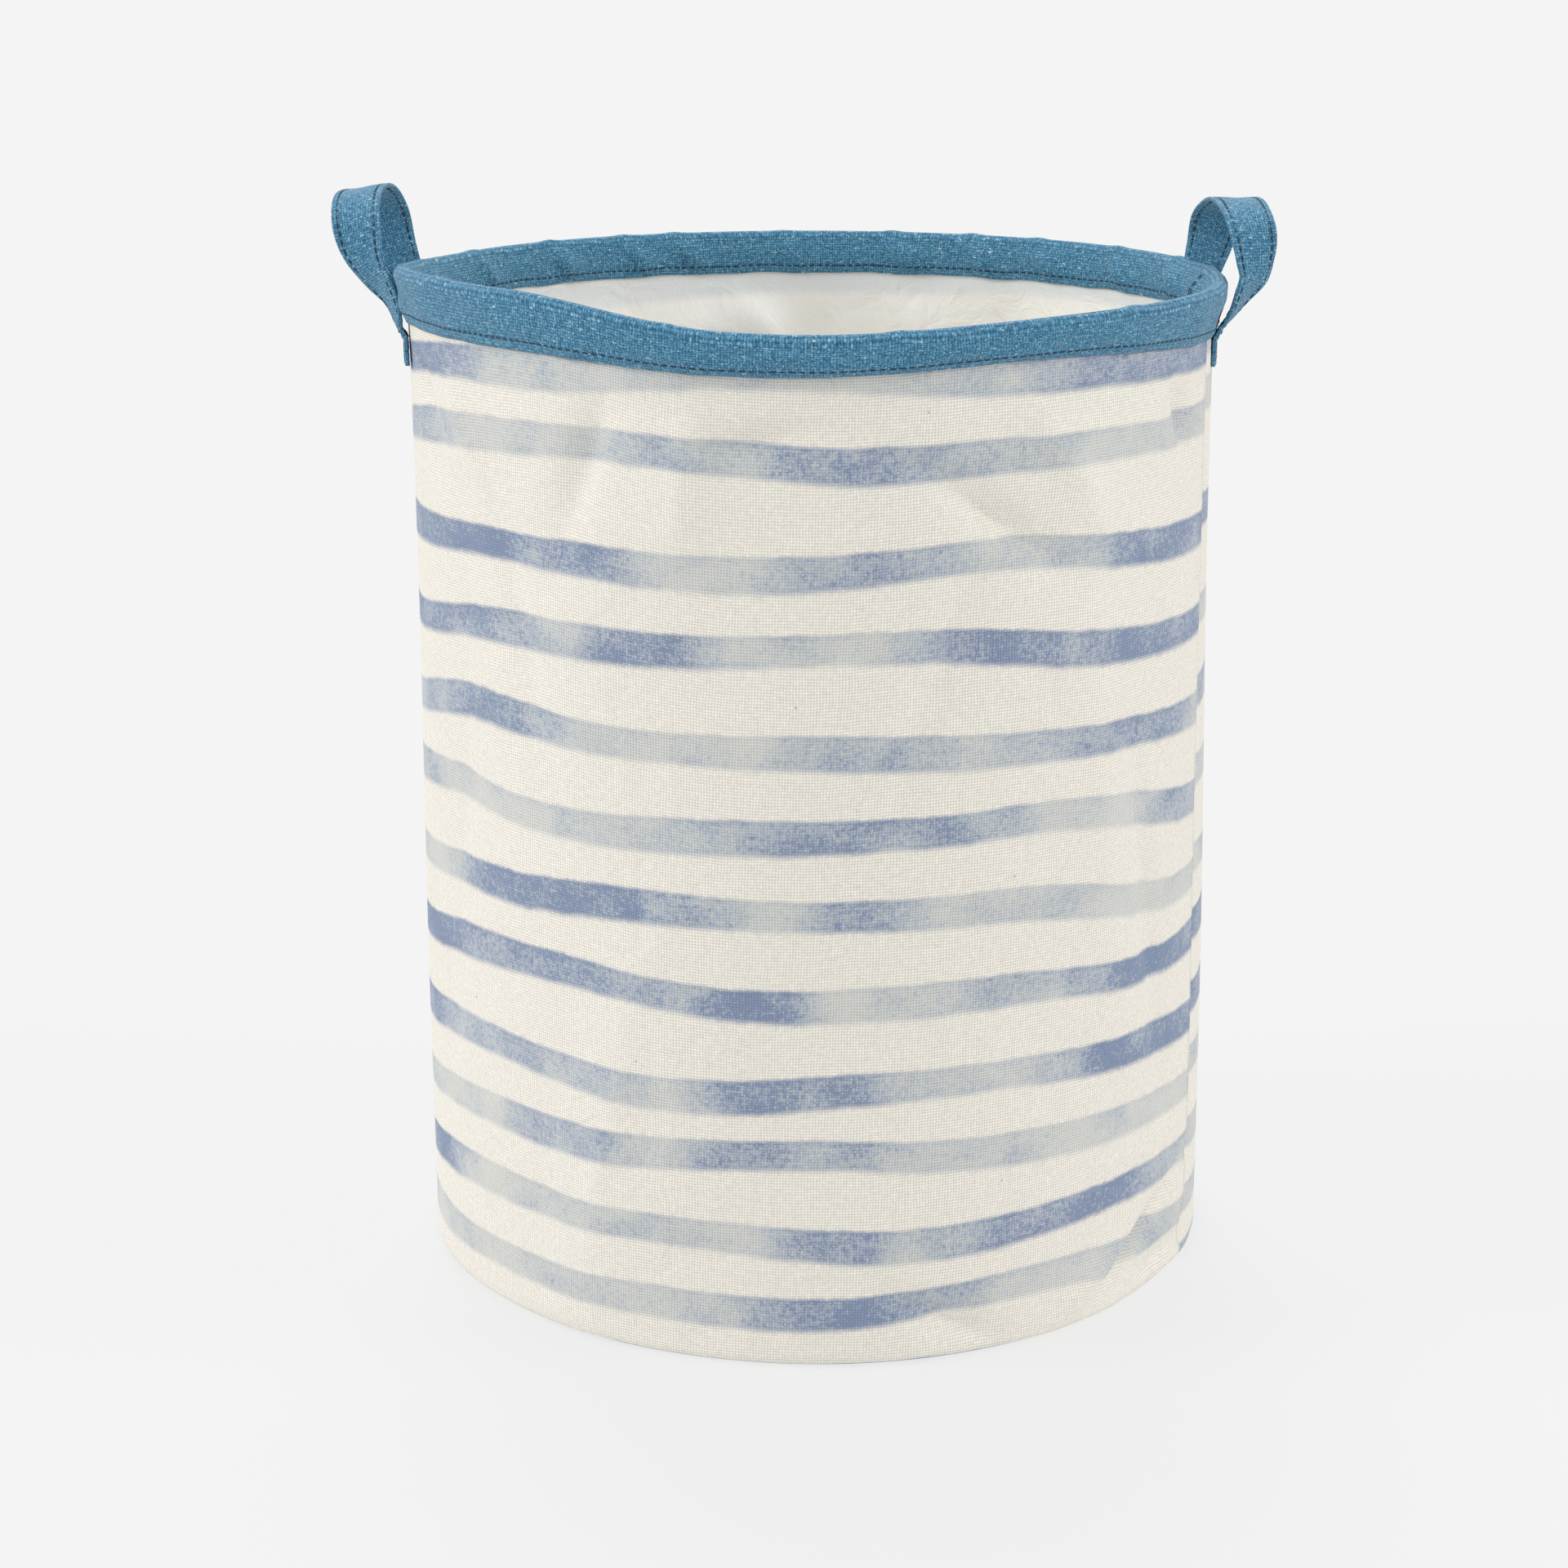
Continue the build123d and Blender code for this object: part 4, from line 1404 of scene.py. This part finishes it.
        word = self.side.word
        strap = grid_piece(f"{word}_handle_strap_cloth", (count, 150), shape, closed=True, capped=True)
        dress(strap, finishes.cloth, Slot.CLOTH, f"{word}_handle_strap", f"{word}_handle_tails")
        stitched = np.arange(0.02, 0.98, STITCH.pitch / whole) * whole
        way = np.interp(stitched, lengths, fine)
        ahead = np.interp(stitched + MM, lengths, fine)
        centre, width, out = self.frames(way)
        next_centre, next_width, next_out = self.frames(ahead)
        centres, along, outward = [], [], []
        lift = self.thickness / 2 - 0.15 * MM
        for across in (-1, 1):
            for face in (-1, 1):
                shift = across * (self.width / 2 - self.hem)
                here = centre + width * shift + out * (face * lift)
                centres.append(here)
                along.append(next_centre + next_width * shift + next_out * (face * lift) - here)
                outward.append(out * face)
        places = [self.put(np.concatenate(part)) for part in (centres, along, outward)]
        edges = STITCH.sow(f"{word}_handle_edge_stitching", *places)
        dress(edges, finishes.navy, Slot.NAVY_THREAD, f"{word}_handle_stitches")
        for piece in (strap, edges):
            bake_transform(piece)
        self.make_tail_box(finishes)

    def make_tail_box(self, finishes: Wardrobe) -> None:
        """The rows that sew each tail to the wall, across the strap."""
        word = self.side.word
        centres, along, outward = [], [], []
        for sign in (-1, 1):
            for up in (-0.84, -0.5):
                way = np.full(5, sign * (2 - up))
                centre, width, out = self.frames(way)
                face = unit(out * np.sign(np.sum(out * centre * np.array([1, 1, 0]), axis=-1, keepdims=True)))
                shift = np.linspace(-7, 7, 5)[:, None] * MM
                centres.append(centre + width * shift + face * (self.thickness / 2 - 0.1 * MM))
                along.append(width)
                outward.append(face)
        places = [self.put(np.concatenate(part)) for part in (centres, along, outward)]
        stitches = STITCH.sow(f"{word}_tail_stitching", *places)
        dress(stitches, finishes.navy, Slot.NAVY_THREAD, f"{word}_tail_stitches")
        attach(stitches, "rim")


# ---------------------------------------------------------------- studio
@dataclass
class Studio:
    """Pale floor, soft light and the camera."""

    eye: tuple = (0.0, -1.634, 0.684)
    pitch: float = 15.34
    pan: float = 0.456
    lens: float = 74.72
    floor_size: float = 80.0

    def build(self) -> None:
        """Make the floor, the lights and the camera."""
        self.make_floor()
        self.make_lights()
        camera = bpy.data.objects.new("camera", bpy.data.cameras.new("camera"))
        camera.data.lens = self.lens
        camera.data.sensor_width = 36.0
        camera.data.clip_end = 200.0
        camera.location = self.eye
        camera.rotation_euler = (math.radians(90 - self.pitch), 0.0, math.radians(self.pan))
        bpy.context.scene.collection.objects.link(camera)
        bpy.context.scene.camera = camera
        bpy.context.scene.view_settings.view_transform = "Standard"

    def make_floor(self) -> None:
        """A lit table top, so that shadows on it stay faint."""
        bpy.ops.object.select_all(action="DESELECT")
        bpy.ops.mesh.primitive_plane_add(size=self.floor_size)
        floor = bpy.context.active_object
        floor.name = "floor"
        shade = Shade("lit_acrylic_table")
        glow = shade.add("Emission", {"Color": (1, 1, 1, 1), "Strength": 0.74})
        paint = shade.add("BsdfDiffuse", {"Color": (0.12, 0.12, 0.12, 1)})
        floor.data.materials.append(shade.close(shade.add("AddShader", {0: glow, 1: paint})))

    def make_lights(self) -> None:
        """A pale surround, a broad lamp on each side, one above the camera and one above the back."""
        scene = bpy.context.scene
        scene.world = bpy.data.worlds.new("surround")
        scene.world.use_nodes = True
        surround = scene.world.node_tree.nodes["Background"]
        surround.inputs["Color"].default_value = (1, 1, 1, 1)
        surround.inputs["Strength"].default_value = 0.78
        for name, energy, aim in (
            ("left_lamp", 1.05, (0.9, 0.1, -0.5)),
            ("right_lamp", 0.75, (-0.9, 0.1, -0.5)),
            ("top_lamp", 0.12, (0.0, 0.8, -0.8)),
            ("back_lamp", 1.1, (0.1, -0.6, -1.0)),
        ):
            lamp = bpy.data.lights.new(name, "SUN")
            lamp.energy = energy
            lamp.angle = math.radians(25)
            broad = bpy.data.objects.new(name, lamp)
            broad.rotation_euler = Vector(aim).to_track_quat("-Z", "Y").to_euler()
            scene.collection.objects.link(broad)


def main() -> None:
    """Build every sub-assembly round the frame, then the studio."""
    logging.basicConfig(level=logging.INFO, format="%(message)s")
    Studio().build()
    finishes = Wardrobe()
    _, wall_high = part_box("wall_panel")
    band_low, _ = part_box("rim_band")
    hoop_low, hoop_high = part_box("rim_hoop")
    tail_low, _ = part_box("right_handle_tails")
    wire = (hoop_high.z - hoop_low.z) / 2
    wall = Wall(radius=wall_high.x, top=wall_high.z)
    wall.build(finishes)
    Base(radius=wall.radius, wall=wall).build(finishes)
    Rim(
        hoop_radius=hoop_high.x - wire,
        hoop_height=hoop_low.z + wire,
        foot=band_low.z,
        outer_foot=wall.radius + BAND_OUT,
        inner_foot=wall.radius - BAND_IN,
    ).build(finishes)
    Handle(Side.RIGHT, tail_foot=tail_low.z).build(finishes)
    Handle(
        Side.LEFT,
        tail_foot=tail_low.z,
        crest=62.0 * MM,
        rises=(0, 5, 11, 20, 34, 48, 63),
        front_leans=(0.2, 1.0, 3.2, 8.5, 16.5, 19.5, 20.0),
        back_leans=(0.2, 3.0, 7.5, 12.5, 17.5, 19.5, 20.0),
        crest_dip=0.15,
    ).build(finishes)


if __name__ == "__main__":
    main()
